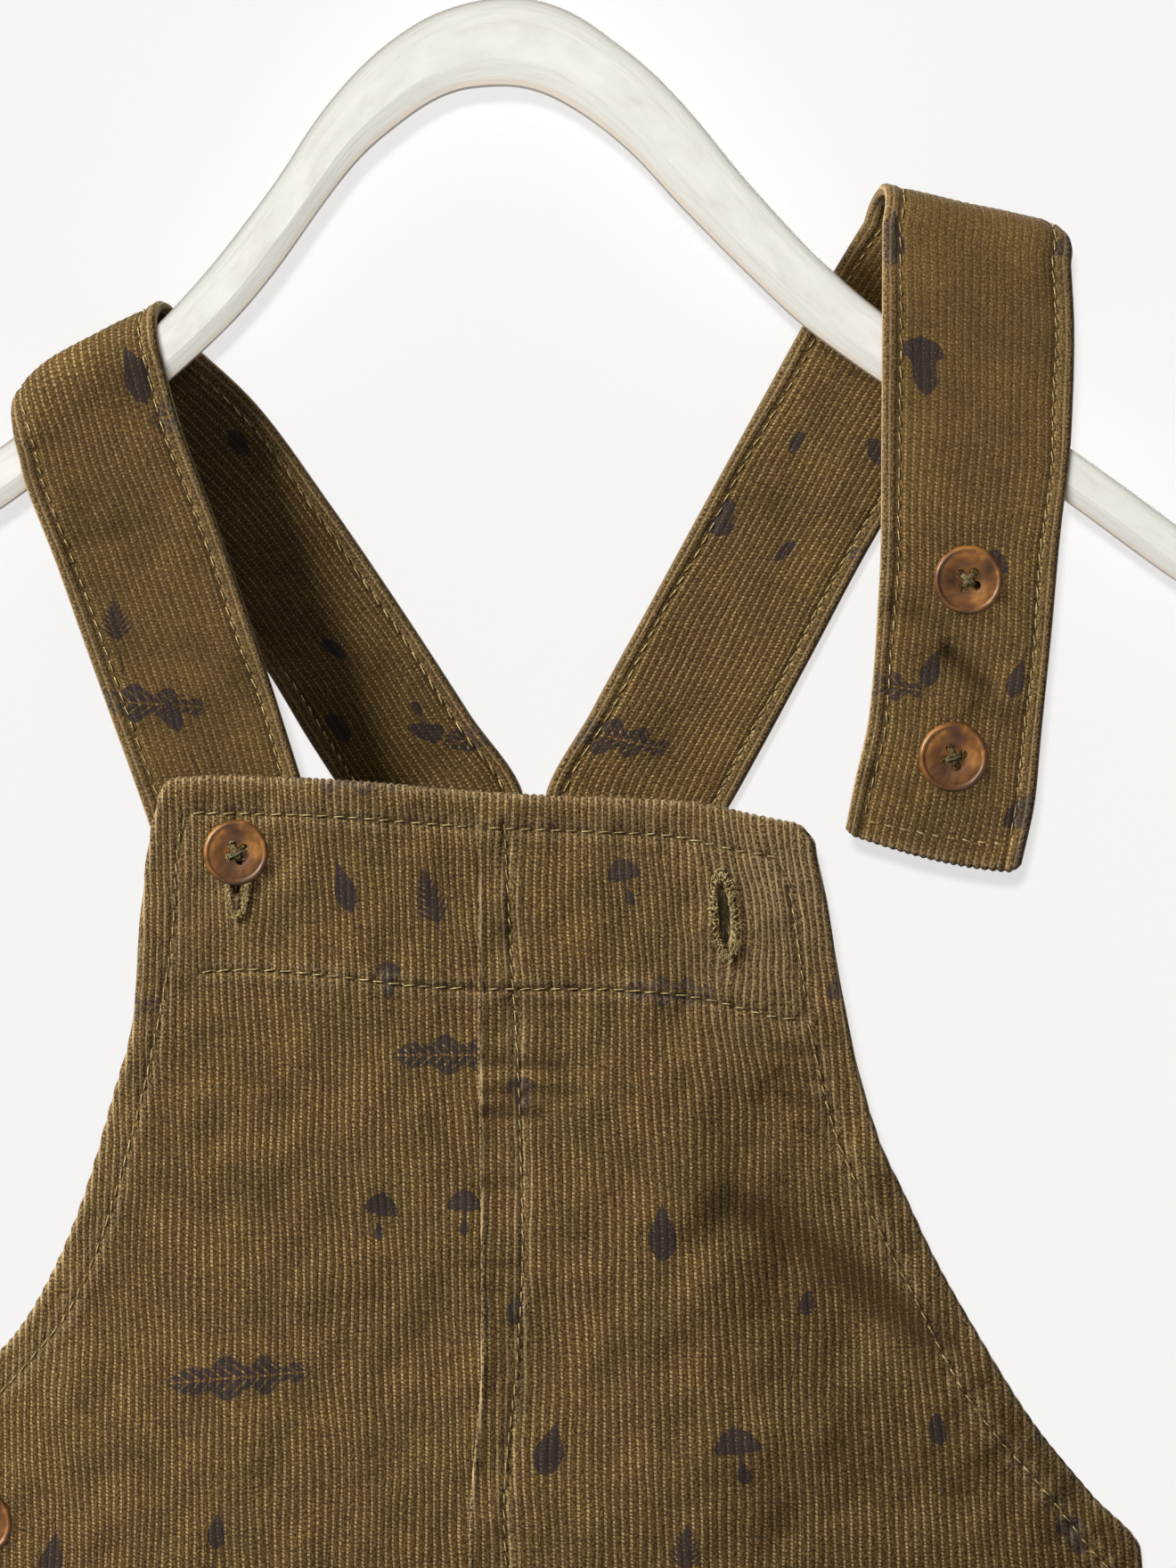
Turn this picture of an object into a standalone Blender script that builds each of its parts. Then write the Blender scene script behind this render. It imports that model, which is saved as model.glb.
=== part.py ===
"""A toddler's corduroy bib overalls on a painted wooden hanger.

Metres, +Z up, the garment's front towards -Y, left and right as a viewer in front sees them.
The origin is the inner top of the hanger's hook, where a rail carries it.
The tables below are in millimetres; each mesh is scaled to metres as it is made.
"""

import math

import bmesh
import bpy
import numpy as np
from mathutils import Matrix, Vector

MM = 0.001

# Driving dimensions.
CLOTH = 1.3
STRAP_CLOTH = 2.4
SEAM = 0.3
HEM_Z = -783.0
CROTCH_Z = -553.0
CORNER_LEFT_Z = -392.0
CORNER_RIGHT_Z = -413.0
SIDE_SEAM_Y = SEAM / 2 + CLOTH / 2 + 0.05

HANGER_DEPTH = 11.6
WOOD_ROUNDNESS = 2.3
STRAP_TURN = 7.8

HOOK_WIRE = 4.0
HOOK_RADIUS = 20.0
HOOK_FOOT_Z = -62.2

BUTTON_RADIUS = 7.8
BUTTON_THICK = 2.8
SHANK_RADIUS = 0.9

SLIT_WIDTH = 2.6
SLIT_LENGTH = 12.0

# Grid of each piece.
PANEL_COLUMNS = 9
BIB_ROW = 9.0
LEG_ROW = 19.0
STRAP_COLUMNS = 4
TURN_STEPS = 8
RUN_STEP = 9.0
HANGER_STATIONS = 48
HANGER_SIDES = 12
BUTTON_SIDES = 20
WIRE_STEPS = 12


def table(columns, *rows):
    """The rows as one array for each named column."""
    return {name: np.array(values, float) for name, values in zip(columns.split(), zip(*rows))}


# Outlines, from the top down. The z of each row drives its x.
FRONT_LEFT_OUTER = table(
    "z x",
    (-238.8, -77.6), (-251.6, -80.6), (-275.6, -83.2), (-293.8, -84.6), (-309.6, -88.8),
    (-332.2, -95.4), (-350.0, -102.8), (-364.8, -112.0), (-376.4, -125.8), (-384.0, -137.6),
    (CORNER_LEFT_Z, -150.4), (-430.0, -151.5), (-480.0, -153.0), (-540.0, -155.0),
    (-600.0, -152.0), (-680.0, -147.0), (HEM_Z, -142.0),
)
FRONT_RIGHT_OUTER = table(
    "z x",
    (-249.2, 67.6), (-266.6, 71.2), (-289.0, 75.0), (-303.4, 78.1), (-320.0, 83.0),
    (-332.0, 88.6), (-346.0, 95.2), (-366.0, 106.6), (-384.0, 118.0), (-400.0, 131.0),
    (CORNER_RIGHT_Z, 142.2),
    (-450.0, 143.5), (-500.0, 145.0), (-545.0, 147.5), (-600.0, 146.0), (-680.0, 142.0),
    (HEM_Z, 137.0),
)
BACK_LEFT_OUTER = table(
    "z x",
    (-247.0, -36.0), (-264.0, -37.4), (-284.0, -41.4), (-314.0, -49.4), (-340.0, -63.4),
    (-360.0, -84.4), (-376.0, -110.4), (CORNER_LEFT_Z, -150.4), (-430.0, -151.5),
    (-480.0, -153.0), (-540.0, -155.0), (-600.0, -152.0), (-680.0, -147.0), (HEM_Z, -142.0),
)
BACK_RIGHT_OUTER = table(
    "z x",
    (-247.0, 50.0), (-264.0, 51.6), (-284.0, 54.6), (-314.0, 61.6), (-344.0, 72.6),
    (-368.0, 87.6), (-392.0, 110.6), (CORNER_RIGHT_Z, 142.2), (-450.0, 143.5),
    (-500.0, 145.0), (-545.0, 147.5), (-600.0, 146.0), (-680.0, 142.0), (HEM_Z, 137.0),
)
# Centre seams, and below the crotch the inseams of the two legs.
FRONT_CENTRE = table(
    "z left right",
    (-238.0, -6.4, -6.4), (-284.0, -6.6, -6.6), (-321.0, -6.2, -6.2), (-368.2, -5.8, -5.8),
    (-410.2, -8.6, -8.6), (-500.0, -6.5, -6.5), (CROTCH_Z, -5.6, -4.4), (-600.0, -12.0, 2.0),
    (-680.0, -17.5, 8.0), (HEM_Z, -20.0, 12.0),
)
BACK_CENTRE = table(
    "z left right",
    (-247.0, 7.0, 7.0), (-284.0, 5.6, 5.6), (-344.0, -0.4, -0.4), (-404.0, -6.0, -6.0),
    (-500.0, -6.5, -6.5), (CROTCH_Z, -5.6, -4.4), (-600.0, -12.0, 2.0), (-680.0, -17.5, 8.0),
    (HEM_Z, -20.0, 12.0),
)
# The bib's top edge.
BIB_TOP = table(
    "x z",
    (-90.0, -238.8), (-77.6, -238.8), (-64.8, -238.2), (-51.8, -238.6), (-32.4, -239.6),
    (-12.8, -241.4), (5.6, -242.6), (26.0, -243.2), (41.4, -244.2), (56.6, -247.4),
    (67.6, -249.2), (80.0, -249.2),
)
# How far the cloth stands from the side seams' plane: at the centre seam, and the swell of each leg.
FRONT_DEPTH = table(
    "z centre swell",
    (-238.0, 13.3, 0.0), (-300.0, 13.7, 0.0), (-350.0, 14.2, 0.0), (-430.0, 15.2, 0.0),
    (-490.0, 15.4, 1.5), (-530.0, 9.0, 8.0), (CROTCH_Z, SIDE_SEAM_Y, 12.6),
    (-600.0, SIDE_SEAM_Y, 13.2), (-700.0, SIDE_SEAM_Y, 12.0), (HEM_Z, SIDE_SEAM_Y, 11.0),
)
BACK_DEPTH = table(
    "z centre swell",
    (-238.0, 10.6, 0.0), (-270.0, 10.8, 0.0), (-350.0, 12.0, 0.0), (-430.0, 15.0, 0.0),
    (-490.0, 17.0, 1.5), (-530.0, 10.0, 9.0), (CROTCH_Z, SIDE_SEAM_Y, 13.8),
    (-600.0, SIDE_SEAM_Y, 13.6), (-700.0, SIDE_SEAM_Y, 12.0), (HEM_Z, SIDE_SEAM_Y, 11.0),
)
# The free armhole edge's depth, by its rise above the underarm corner.
FRONT_EDGE = table(
    "rise y",
    (-400.0, SIDE_SEAM_Y), (0.0, SIDE_SEAM_Y), (8.0, 2.6), (25.0, 6.0), (50.0, 9.4),
    (95.0, 12.2), (155.0, 13.1),
)
BACK_EDGE = table(
    "rise y",
    (-400.0, SIDE_SEAM_Y), (0.0, SIDE_SEAM_Y), (8.0, 2.4), (25.0, 5.4), (50.0, 8.0),
    (95.0, 9.8), (170.0, 10.3),
)

# The largest folds: a soft line from one end to the other, its half-width, and how far it stands
# out (a trough is negative).
FRONT_FOLDS = table(
    "x1 z1 x2 z2 half out",
    (44.0, -334.0, 86.0, -366.0, 9.0, -2.2),
    (36.0, -352.0, 78.0, -386.0, 10.0, 1.4),
    (54.0, -310.0, 80.0, -318.0, 6.0, -1.3),
    (-60.0, -372.0, 10.0, -378.0, 16.0, -1.1),
    (-118.0, -420.0, -60.0, -436.0, 12.0, -1.6),
    (60.0, -430.0, 118.0, -440.0, 12.0, -1.8),
    (-20.0, -540.0, -92.0, -520.0, 12.0, -2.2),
    (12.0, -542.0, 84.0, -516.0, 13.0, -2.4),
    (-26.0, -572.0, -96.0, -600.0, 13.0, -2.2),
    (16.0, -570.0, 80.0, -604.0, 12.0, -2.0),
    (-122.0, -650.0, -48.0, -666.0, 13.0, -2.4),
    (42.0, -658.0, 118.0, -646.0, 14.0, -2.2),
    (-112.0, -724.0, -50.0, -714.0, 12.0, -1.6),
    (46.0, -716.0, 106.0, -728.0, 12.0, -1.8),
)
BACK_FOLDS = table(
    "x1 z1 x2 z2 half out",
    (-30.0, -300.0, 10.0, -316.0, 9.0, -1.2),
    (60.0, -372.0, 20.0, -344.0, 10.0, -1.6),
    (-80.0, -392.0, -30.0, -366.0, 11.0, -1.6),
    (-116.0, -436.0, -40.0, -446.0, 14.0, -2.0),
    (30.0, -450.0, 112.0, -438.0, 14.0, -2.0),
    (-22.0, -536.0, -100.0, -512.0, 13.0, -2.6),
    (14.0, -538.0, 92.0, -514.0, 13.0, -2.4),
    (-28.0, -574.0, -104.0, -596.0, 13.0, -2.4),
    (18.0, -576.0, 96.0, -600.0, 12.0, -2.2),
    (-120.0, -660.0, -44.0, -644.0, 14.0, -2.2),
    (40.0, -648.0, 116.0, -662.0, 13.0, -2.4),
    (-108.0, -722.0, -52.0, -730.0, 12.0, -1.6),
)

# Straps: the two edges of each row, and the depth of the cloth's middle.
# Up the back, then the line over the top, then down the front.
LEFT_STRAP_BACK = table(
    "xl zl xr zr y",
    (-27.2, -259.6, 4.6, -259.6, 8.3), (-36.0, -245.0, 3.2, -243.6, 8.2),
    (-45.6, -230.0, -9.2, -224.0, 8.0), (-57.4, -211.0, -24.8, -200.0, 8.0),
    (-73.4, -193.0, -40.6, -176.0, 8.0), (-89.4, -178.0, -55.0, -154.0, 8.0),
)
LEFT_STRAP_TURN = table(
    "xl zl xr zr y",
    (-105.4, -164.0, -73.0, -139.4, STRAP_TURN),
    (-111.0, -155.6, -78.0, -131.8, 0.0),
    (-110.4, -166.4, -78.6, -142.4, -STRAP_TURN),
)
LEFT_STRAP_FRONT = table(
    "xl zl xr zr y",
    (-109.4, -171.0, -74.4, -158.0, -7.9), (-102.0, -190.4, -67.0, -178.0, -8.0),
    (-95.9, -207.6, -59.4, -200.0, -8.6), (-89.1, -226.4, -53.4, -218.0, -9.6),
    (-81.2, -248.4, -47.2, -237.6, -10.5), (-76.0, -265.0, -42.0, -254.2, -10.4),
    (-70.0, -285.0, -36.0, -274.0, -8.2), (-64.0, -305.0, -30.2, -294.0, -7.0),
    (-60.8, -316.4, -26.8, -305.4, -6.8),
)
RIGHT_STRAP_BACK = table(
    "xl zl xr zr y",
    (7.4, -259.6, 40.6, -259.6, 8.3), (7.6, -245.0, 49.6, -245.0, 8.2),
    (18.4, -223.4, 56.2, -233.2, 8.0), (29.8, -202.6, 67.4, -212.4, 8.0),
    (43.3, -177.8, 80.4, -188.0, 8.0), (57.4, -152.2, 94.0, -165.0, 8.0),
    (70.6, -128.4, 107.2, -142.4, 8.0),
)
RIGHT_STRAP_TURN = table(
    "xl zl xr zr y",
    (80.1, -112.6, 121.5, -122.0, STRAP_TURN),
    (83.7, -105.6, 125.6, -114.8, 0.0),
    (83.8, -113.4, 126.3, -122.8, -STRAP_TURN),
)
RIGHT_STRAP_FRONT = table(
    "xl zl xr zr y",
    (83.7, -130.0, 127.0, -139.0, -7.8), (83.6, -154.0, 126.4, -160.0, -7.8),
    (83.4, -184.0, 123.6, -186.0, -8.2), (82.7, -200.0, 122.0, -204.0, -8.6),
    (80.8, -224.0, 119.4, -230.0, -9.0), (77.4, -240.0, 118.2, -243.0, -9.6),
    (75.2, -251.0, 114.6, -259.8, -10.4),
)

# The hanger's centre line and the height of its wood, from the left tip to the right.
HANGER = table(
    "x z height",
    (-164.0, -204.4, 8.6), (-144.4, -190.6, 10.6), (-114.4, -170.8, 11.2), (-94.4, -155.6, 11.2),
    (-78.2, -143.0, 11.2), (-64.0, -128.6, 12.0), (-47.0, -106.2, 11.6), (-38.6, -94.2, 13.0),
    (-30.2, -85.6, 14.9), (-21.8, -79.0, 16.4), (-10.8, -73.9, 18.6), (0.0, -72.4, 20.2),
    (9.6, -74.6, 19.4), (17.6, -79.3, 18.0), (26.0, -85.4, 17.2), (34.4, -93.4, 16.2),
    (42.8, -103.1, 15.2), (51.2, -112.4, 14.5), (59.6, -121.1, 14.0), (68.0, -129.2, 13.6),
    (84.0, -142.0, 12.8), (105.6, -156.4, 11.4), (125.6, -170.0, 10.4), (149.6, -187.5, 10.4),
    (159.6, -195.0, 8.4),
)

# The hook's wire below its round part: it swings back under the middle and goes down to the wood.
HOOK_NECK = table(
    "x z",
    (10.2, -35.6), (5.0, -40.6), (1.4, -45.6), (0.0, -52.0), (0.0, HOOK_FOOT_Z),
)
HOOK_TIP_ANGLE = 205.0
HOOK_NECK_ANGLE = -50.0

# Buttons: where each sits, how far in front of the seams' plane its cloth is, and its shank.
BUTTONS = {
    "button_left_upper": {"x": -61.2, "z": -255.4, "cloth_y": -11.8, "shank": 2.7},
    "button_left_lower": {"x": -48.0, "z": -293.2, "cloth_y": -8.7, "shank": 0.4},
    "button_right_upper": {"x": 103.0, "z": -194.2, "cloth_y": -9.6, "shank": 0.6},
    "button_right_lower": {"x": 99.6, "z": -234.0, "cloth_y": -10.4, "shank": 0.6},
    "button_side_left": {"x": -119.4, "z": -406.0, "cloth_y": None, "shank": 0.6},
    "button_side_right": {"x": 111.0, "z": -428.0, "cloth_y": None, "shank": 0.6},
}

# Buttonholes cut through the bib: the centre and the lean from upright, in degrees.
BUTTONHOLES = {
    "front_left": {"x": -61.2, "z": -258.6, "lean": 0.0},
    "front_right": {"x": 48.2, "z": -269.6, "lean": 4.8},
}

MATERIALS = {
    "corduroy": {"colour": (0.13, 0.08, 0.03), "roughness": 0.9, "metallic": 0.0},
    "painted_wood": {"colour": (0.84, 0.83, 0.79), "roughness": 0.5, "metallic": 0.0},
    "steel_wire": {"colour": (0.62, 0.62, 0.62), "roughness": 0.25, "metallic": 1.0},
    "horn": {"colour": (0.18, 0.07, 0.02), "roughness": 0.3, "metallic": 0.0},
}


def through(keys, values):
    """A smooth function through the points that never overshoots them (monotone cubic)."""
    order = np.argsort(keys)
    xs, ys = keys[order], values[order]
    steps = np.diff(xs)
    slopes = np.diff(ys) / steps
    tangents = np.zeros(len(xs))
    tangents[0], tangents[-1] = slopes[0], slopes[-1]
    before, after = 2 * steps[1:] + steps[:-1], steps[1:] + 2 * steps[:-1]
    for i in np.nonzero(slopes[:-1] * slopes[1:] > 0)[0]:
        weights = before[i] / slopes[i] + after[i] / slopes[i + 1]
        tangents[i + 1] = (before[i] + after[i]) / weights

    def at(x):
        x = np.clip(x, xs[0], xs[-1])
        i = np.clip(np.searchsorted(xs, x) - 1, 0, len(steps) - 1)
        t = (x - xs[i]) / steps[i]
        rise = ys[i] * (1 + 2 * t) * (1 - t) ** 2 + ys[i + 1] * t * t * (3 - 2 * t)
        return rise + steps[i] * t * (1 - t) * (tangents[i] * (1 - t) - tangents[i + 1] * t)

    return at


def folds(rows, x, z):
    """How far the folds in the table move the cloth outwards at a point."""
    total = 0.0
    for x1, z1, x2, z2, half, out in zip(*(rows[name] for name in "x1 z1 x2 z2 half out".split())):
        run = np.array([x2 - x1, z2 - z1])
        length = np.hypot(*run)
        along = ((x - x1) * run[0] + (z - z1) * run[1]) / length**2
        across = ((x - x1) * run[1] - (z - z1) * run[0]) / length
        beyond = (along - np.clip(along, 0.15, 0.85)) * length / (0.3 * length)
        total += out * np.exp(-((across / half) ** 2) - 4 * beyond**2)
    return total


class Panel:
    """One flat-hung panel: its inner and outer edges, and its depth at any point of it."""

    def __init__(self, outer, centre, side, depth, edge, corner_z, front):
        self.outer_x = through(outer["z"], outer["x"])
        self.centre_x = through(centre["z"], centre[side])
        self.centre_y = through(depth["z"], depth["centre"])
        self.swell = through(depth["z"], depth["swell"])
        self.edge_y = through(edge["rise"], edge["y"])
        self.top_z = float(outer["z"].max())
        self.corner_z = corner_z
        self.facing = -1.0 if front else 1.0
        self.fold_rows = FRONT_FOLDS if front else BACK_FOLDS
        self.seam_side = -1.0 if side == "left" else 1.0

    def inner_x(self, z):
        return self.centre_x(z) + self.seam_side * SEAM / 2

    def y(self, x, z):
        """The depth of the cloth's middle, from the seam line at u = 0 to the side at u = 1."""
        u = np.clip((x - self.inner_x(z)) / (self.outer_x(z) - self.inner_x(z)), 0.0, 1.0)
        away = self.centre_y(z) * (1 - u**3) + self.edge_y(z - self.corner_z) * u**3
        away += self.swell(z) * (1 - abs(2 * u - 1) ** 3)
        held = np.clip(12 * u * (1 - u), 0.0, 1.0)
        return self.facing * (away + held * folds(self.fold_rows, x, z))


def panels():
    """The four cut panels by name."""
    left, right = CORNER_LEFT_Z, CORNER_RIGHT_Z
    front = (FRONT_DEPTH, FRONT_EDGE)
    back = (BACK_DEPTH, BACK_EDGE)
    return {
        "front_left": Panel(FRONT_LEFT_OUTER, FRONT_CENTRE, "left", *front, left, True),
        "front_right": Panel(FRONT_RIGHT_OUTER, FRONT_CENTRE, "right", *front, right, True),
        "back_left": Panel(BACK_LEFT_OUTER, BACK_CENTRE, "left", *back, left, False),
        "back_right": Panel(BACK_RIGHT_OUTER, BACK_CENTRE, "right", *back, right, False),
    }


def material(name):
    """A Principled material from the table."""
    if name in bpy.data.materials:
        return bpy.data.materials[name]
    made = bpy.data.materials.new(name)
    made.use_nodes = True
    shader = made.node_tree.nodes["Principled BSDF"]
    shader.inputs["Base Color"].default_value = (*MATERIALS[name]["colour"], 1.0)
    shader.inputs["Roughness"].default_value = MATERIALS[name]["roughness"]
    shader.inputs["Metallic"].default_value = MATERIALS[name]["metallic"]
    return made


def add(collection, name, data, material_name):
    """A new object with this mesh or curve in the collection."""
    obj = bpy.data.objects.new(name, data)
    data.materials.append(material(material_name))
    collection.objects.link(obj)
    return obj


def grid_mesh(name, columns, rows, place):
    """A grid of cells, each corner put where place(u, v) says, in millimetres."""
    mesh = bpy.data.meshes.new(name)
    work = bmesh.new()
    bmesh.ops.create_grid(work, x_segments=columns, y_segments=rows, size=0.5)
    for vert in work.verts:
        vert.co = Vector(place(vert.co.x + 0.5, 0.5 - vert.co.y)) * MM
    work.to_mesh(mesh)
    work.free()
    mesh.shade_smooth()
    return mesh


def thicken(obj, thickness):
    wall = obj.modifiers.new("wall", "SOLIDIFY")
    wall.thickness = thickness * MM
    wall.offset = 0.0


def row_heights(top, corner):
    """The rows' places from the top edge down: close on the bib, wider on the legs."""
    bib = round((top - corner) / BIB_ROW)
    hip = round((corner - CROTCH_Z) / (BIB_ROW + LEG_ROW) * 2)
    leg = round((CROTCH_Z - HEM_Z) / LEG_ROW)
    stops = [
        np.linspace(top, corner, bib + 1)[:-1],
        np.linspace(corner, CROTCH_Z, hip + 1)[:-1],
        np.linspace(CROTCH_Z, HEM_Z, leg + 1),
    ]
    return np.concatenate(stops)


def build_panel(collection, name, panel):
    """The panel's wall. Each row runs from the seam to the edge, tilted with the top edge."""
    heights = row_heights(panel.top_z, panel.corner_z)
    rows = len(heights) - 1
    is_front = panel.facing < 0
    bib_top = through(BIB_TOP["x"], BIB_TOP["z"])

    def place(u, v):
        outer_z = heights[round(v * rows)]
        fade = np.clip((outer_z - panel.corner_z) / (panel.top_z - panel.corner_z), 0.0, 1.0)
        start_x, end_x = panel.inner_x(outer_z), panel.outer_x(outer_z)
        x = start_x + (end_x - start_x) * u
        z = outer_z + fade * (bib_top(x) - panel.top_z) if is_front else outer_z
        if u > 0.999:
            z = outer_z
        return x, panel.y(x, z), z

    obj = add(collection, name, grid_mesh(name, PANEL_COLUMNS, rows, place), "corduroy")
    thicken(obj, CLOTH)
    return obj


def edge_rows(rows):
    """A strap table's rows as pairs of edge points."""
    left = np.column_stack([rows["xl"], rows["y"], rows["zl"]])
    right = np.column_stack([rows["xr"], rows["y"], rows["zr"]])
    return np.stack([left, right], axis=1)


def turn(rows):
    """The strap's rows over the top: half an ellipse through the first, top and last rows."""
    start, top, end = edge_rows(rows)
    middle = (start + end) / 2
    angles = np.linspace(0, math.pi, TURN_STEPS + 1)
    return [middle + (start - middle) * math.cos(a) + (top - middle) * math.sin(a) for a in angles]


def smooth_run(rows):
    """A run's rows, read every RUN_STEP or so from a smooth curve through the table's."""
    points = np.array(rows)
    middles = points.mean(axis=1)
    along = np.concatenate([[0.0], np.cumsum(np.linalg.norm(np.diff(middles, axis=0), axis=1))])
    flat = points.reshape(len(points), -1)
    reads = [through(along, column) for column in flat.T]
    count = max(2, round(along[-1] / RUN_STEP))
    return [
        np.array([read(s) for read in reads]).reshape(2, 3)
        for s in np.linspace(0, along[-1], count + 1)
    ]


def build_strap(collection, name, back, over, front):
    """A strap up the back, over the top and down the front."""
    top = turn(over)
    up = smooth_run([*edge_rows(back), top[0]])
    down = smooth_run([top[-1], *edge_rows(front)])
    rows = np.array([*up[:-1], *top, *down[1:]])

    def place(u, v):
        left, right = rows[round(v * (len(rows) - 1))]
        return left + (right - left) * u

    obj = add(collection, name, grid_mesh(name, STRAP_COLUMNS, len(rows) - 1, place), "corduroy")
    thicken(obj, STRAP_CLOTH)
    return obj


def build_hanger(collection):
    """The hanger: oval sections of wood along its bowed centre line."""
    middles = np.column_stack([HANGER["x"], HANGER["z"]])
    gaps = np.linalg.norm(np.diff(middles, axis=0), axis=1)
    along = np.concatenate([[0.0], np.cumsum(gaps)])
    at_x, at_z = through(along, HANGER["x"]), through(along, HANGER["z"])
    height = through(along, HANGER["height"])
    ends = 0.5 * HANGER["height"][0]
    places = np.linspace(ends, along[-1] - ends, HANGER_STATIONS)
    stations = [(0.0, 0.55), (0.25 * ends, 0.82), *((s, 1.0) for s in places)]
    stations += [(along[-1] - 0.25 * ends, 0.82), (along[-1], 0.55)]

    work = bmesh.new()
    rings = []
    for s, share in stations:
        step = 0.5
        tangent = Vector((at_x(s + step) - at_x(s - step), 0, at_z(s + step) - at_z(s - step)))
        tangent.normalize()
        across = Vector((-tangent.z, 0, tangent.x))
        ring = []
        for k in range(HANGER_SIDES):
            angle = 2 * math.pi * (k + 0.5) / HANGER_SIDES
            power = 2 / WOOD_ROUNDNESS
            up = math.copysign(abs(math.sin(angle)) ** power, math.sin(angle))
            side = math.copysign(abs(math.cos(angle)) ** power, math.cos(angle))
            point = Vector((at_x(s), 0, at_z(s))) + across * up * height(s) / 2 * share
            point.y = side * HANGER_DEPTH / 2 * share
            ring.append(work.verts.new(point * MM))
        rings.append(ring)
    for ring, following in zip(rings, rings[1:]):
        for k in range(HANGER_SIDES):
            j = (k + 1) % HANGER_SIDES
            work.faces.new((ring[k], ring[j], following[j], following[k]))
    work.faces.new(rings[0][::-1])
    work.faces.new(rings[-1])
    bmesh.ops.recalc_face_normals(work, faces=work.faces)
    mesh = bpy.data.meshes.new("hanger")
    work.to_mesh(mesh)
    work.free()
    mesh.shade_smooth()
    return add(collection, "hanger", mesh, "painted_wood")


def build_hook(collection):
    """The hook: round over the rail, then a neck down to the wood."""
    centre_z = HOOK_WIRE / 2 - HOOK_RADIUS
    angles = np.radians(np.linspace(HOOK_TIP_ANGLE, HOOK_NECK_ANGLE, 2 * WIRE_STEPS))
    route = [(HOOK_RADIUS * math.cos(a), centre_z + HOOK_RADIUS * math.sin(a)) for a in angles]
    start = route[-1]
    neck_x = np.append(start[0], HOOK_NECK["x"])
    neck_z = np.append(start[1], HOOK_NECK["z"])
    read_x = through(neck_z, neck_x)
    route += [(float(read_x(z)), z) for z in np.linspace(start[1], neck_z[-1], WIRE_STEPS)[1:]]

    curve = bpy.data.curves.new("hook", "CURVE")
    curve.dimensions = "3D"
    curve.bevel_depth = HOOK_WIRE / 2 * MM
    curve.bevel_resolution = 2
    curve.use_fill_caps = True
    spline = curve.splines.new("POLY")
    spline.points.add(len(route) - 1)
    for point, (x, z) in zip(spline.points, route):
        point.co = (x * MM, 0.0, z * MM, 1.0)
    return add(collection, "hook", curve, "steel_wire")


def build_button(collection, name, spec, all_panels):
    """A turned button with a raised rim and a dished middle, on its thread shank."""
    shank = spec["shank"]
    front = shank + BUTTON_THICK
    profile = [
        (0.0, front - 0.9), (4.4, front - 0.9), (5.6, front - 0.2), (6.6, front),
        (7.4, front - 0.3), (BUTTON_RADIUS, front - 1.0), (7.2, shank + 0.5), (5.4, shank),
        (SHANK_RADIUS, shank), (SHANK_RADIUS, 0.0), (0.0, 0.0),
    ]
    mesh = bpy.data.meshes.new(name)
    edges = [(i, i + 1) for i in range(len(profile) - 1)]
    mesh.from_pydata([(r * MM, 0.0, h * MM) for r, h in profile], edges, [])
    obj = add(collection, name, mesh, "horn")
    spin = obj.modifiers.new("turned", "SCREW")
    spin.steps = spin.render_steps = BUTTON_SIDES
    spin.use_merge_vertices = True
    spin.merge_threshold = 0.00005
    cloth_y = spec["cloth_y"]
    if cloth_y is None:
        panel = all_panels["front_left" if spec["x"] < 0 else "front_right"]
        cloth_y = float(panel.y(spec["x"], spec["z"])) - CLOTH / 2
    obj.location = Vector((spec["x"], cloth_y - SEAM, spec["z"])) * MM
    obj.rotation_euler = (math.radians(90), 0, 0)
    return obj


def cut_buttonhole(cutters, obj, spec):
    """A slit through the bib, with a cutter as deep as the bib is far from the straps."""
    mesh = bpy.data.meshes.new(obj.name + "_slit")
    work = bmesh.new()
    size = Matrix.Diagonal((SLIT_WIDTH * MM, 6 * MM, SLIT_LENGTH * MM, 1.0))
    bmesh.ops.create_cube(work, size=1.0, matrix=size)
    work.to_mesh(mesh)
    work.free()
    cutter = bpy.data.objects.new(obj.name + "_slit", mesh)
    cutter.location = Vector((spec["x"], -13.3, spec["z"])) * MM
    cutter.rotation_euler = (0, math.radians(-spec["lean"]), 0)
    cutter.hide_render = True
    cutter.display_type = "WIRE"
    cutters.objects.link(cutter)
    slit = obj.modifiers.new("buttonhole", "BOOLEAN")
    slit.operation = "DIFFERENCE"
    slit.object = cutter


def main():
    for obj in list(bpy.data.objects):
        bpy.data.objects.remove(obj)
    parts = bpy.data.collections.new("bib_overalls_on_hanger")
    cutters = bpy.data.collections.new("cutters")
    bpy.context.scene.collection.children.link(parts)
    bpy.context.scene.collection.children.link(cutters)

    all_panels = panels()
    for name, panel in all_panels.items():
        obj = build_panel(parts, name, panel)
        if name in BUTTONHOLES:
            cut_buttonhole(cutters, obj, BUTTONHOLES[name])
    build_strap(parts, "strap_left", LEFT_STRAP_BACK, LEFT_STRAP_TURN, LEFT_STRAP_FRONT)
    build_strap(parts, "strap_right", RIGHT_STRAP_BACK, RIGHT_STRAP_TURN, RIGHT_STRAP_FRONT)
    build_hanger(parts)
    build_hook(parts)
    for name, spec in BUTTONS.items():
        build_button(parts, name, spec, all_panels)


main()
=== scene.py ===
"""Looks of the bib overalls on their hanger: cloth, stitches, buttons, wood, light and camera.

Tables are in millimetres, +Z up, the front towards -Y, left and right as a viewer in front sees
them. The panels' and the hanger's tables are those of the solids, and the straps' follow their
solids closely, so that each piece lies on its solid's form.
"""

import math

import bmesh
import bpy
import numpy as np
from mathutils import Matrix, Vector
from mathutils.geometry import delaunay_2d_cdt

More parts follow.
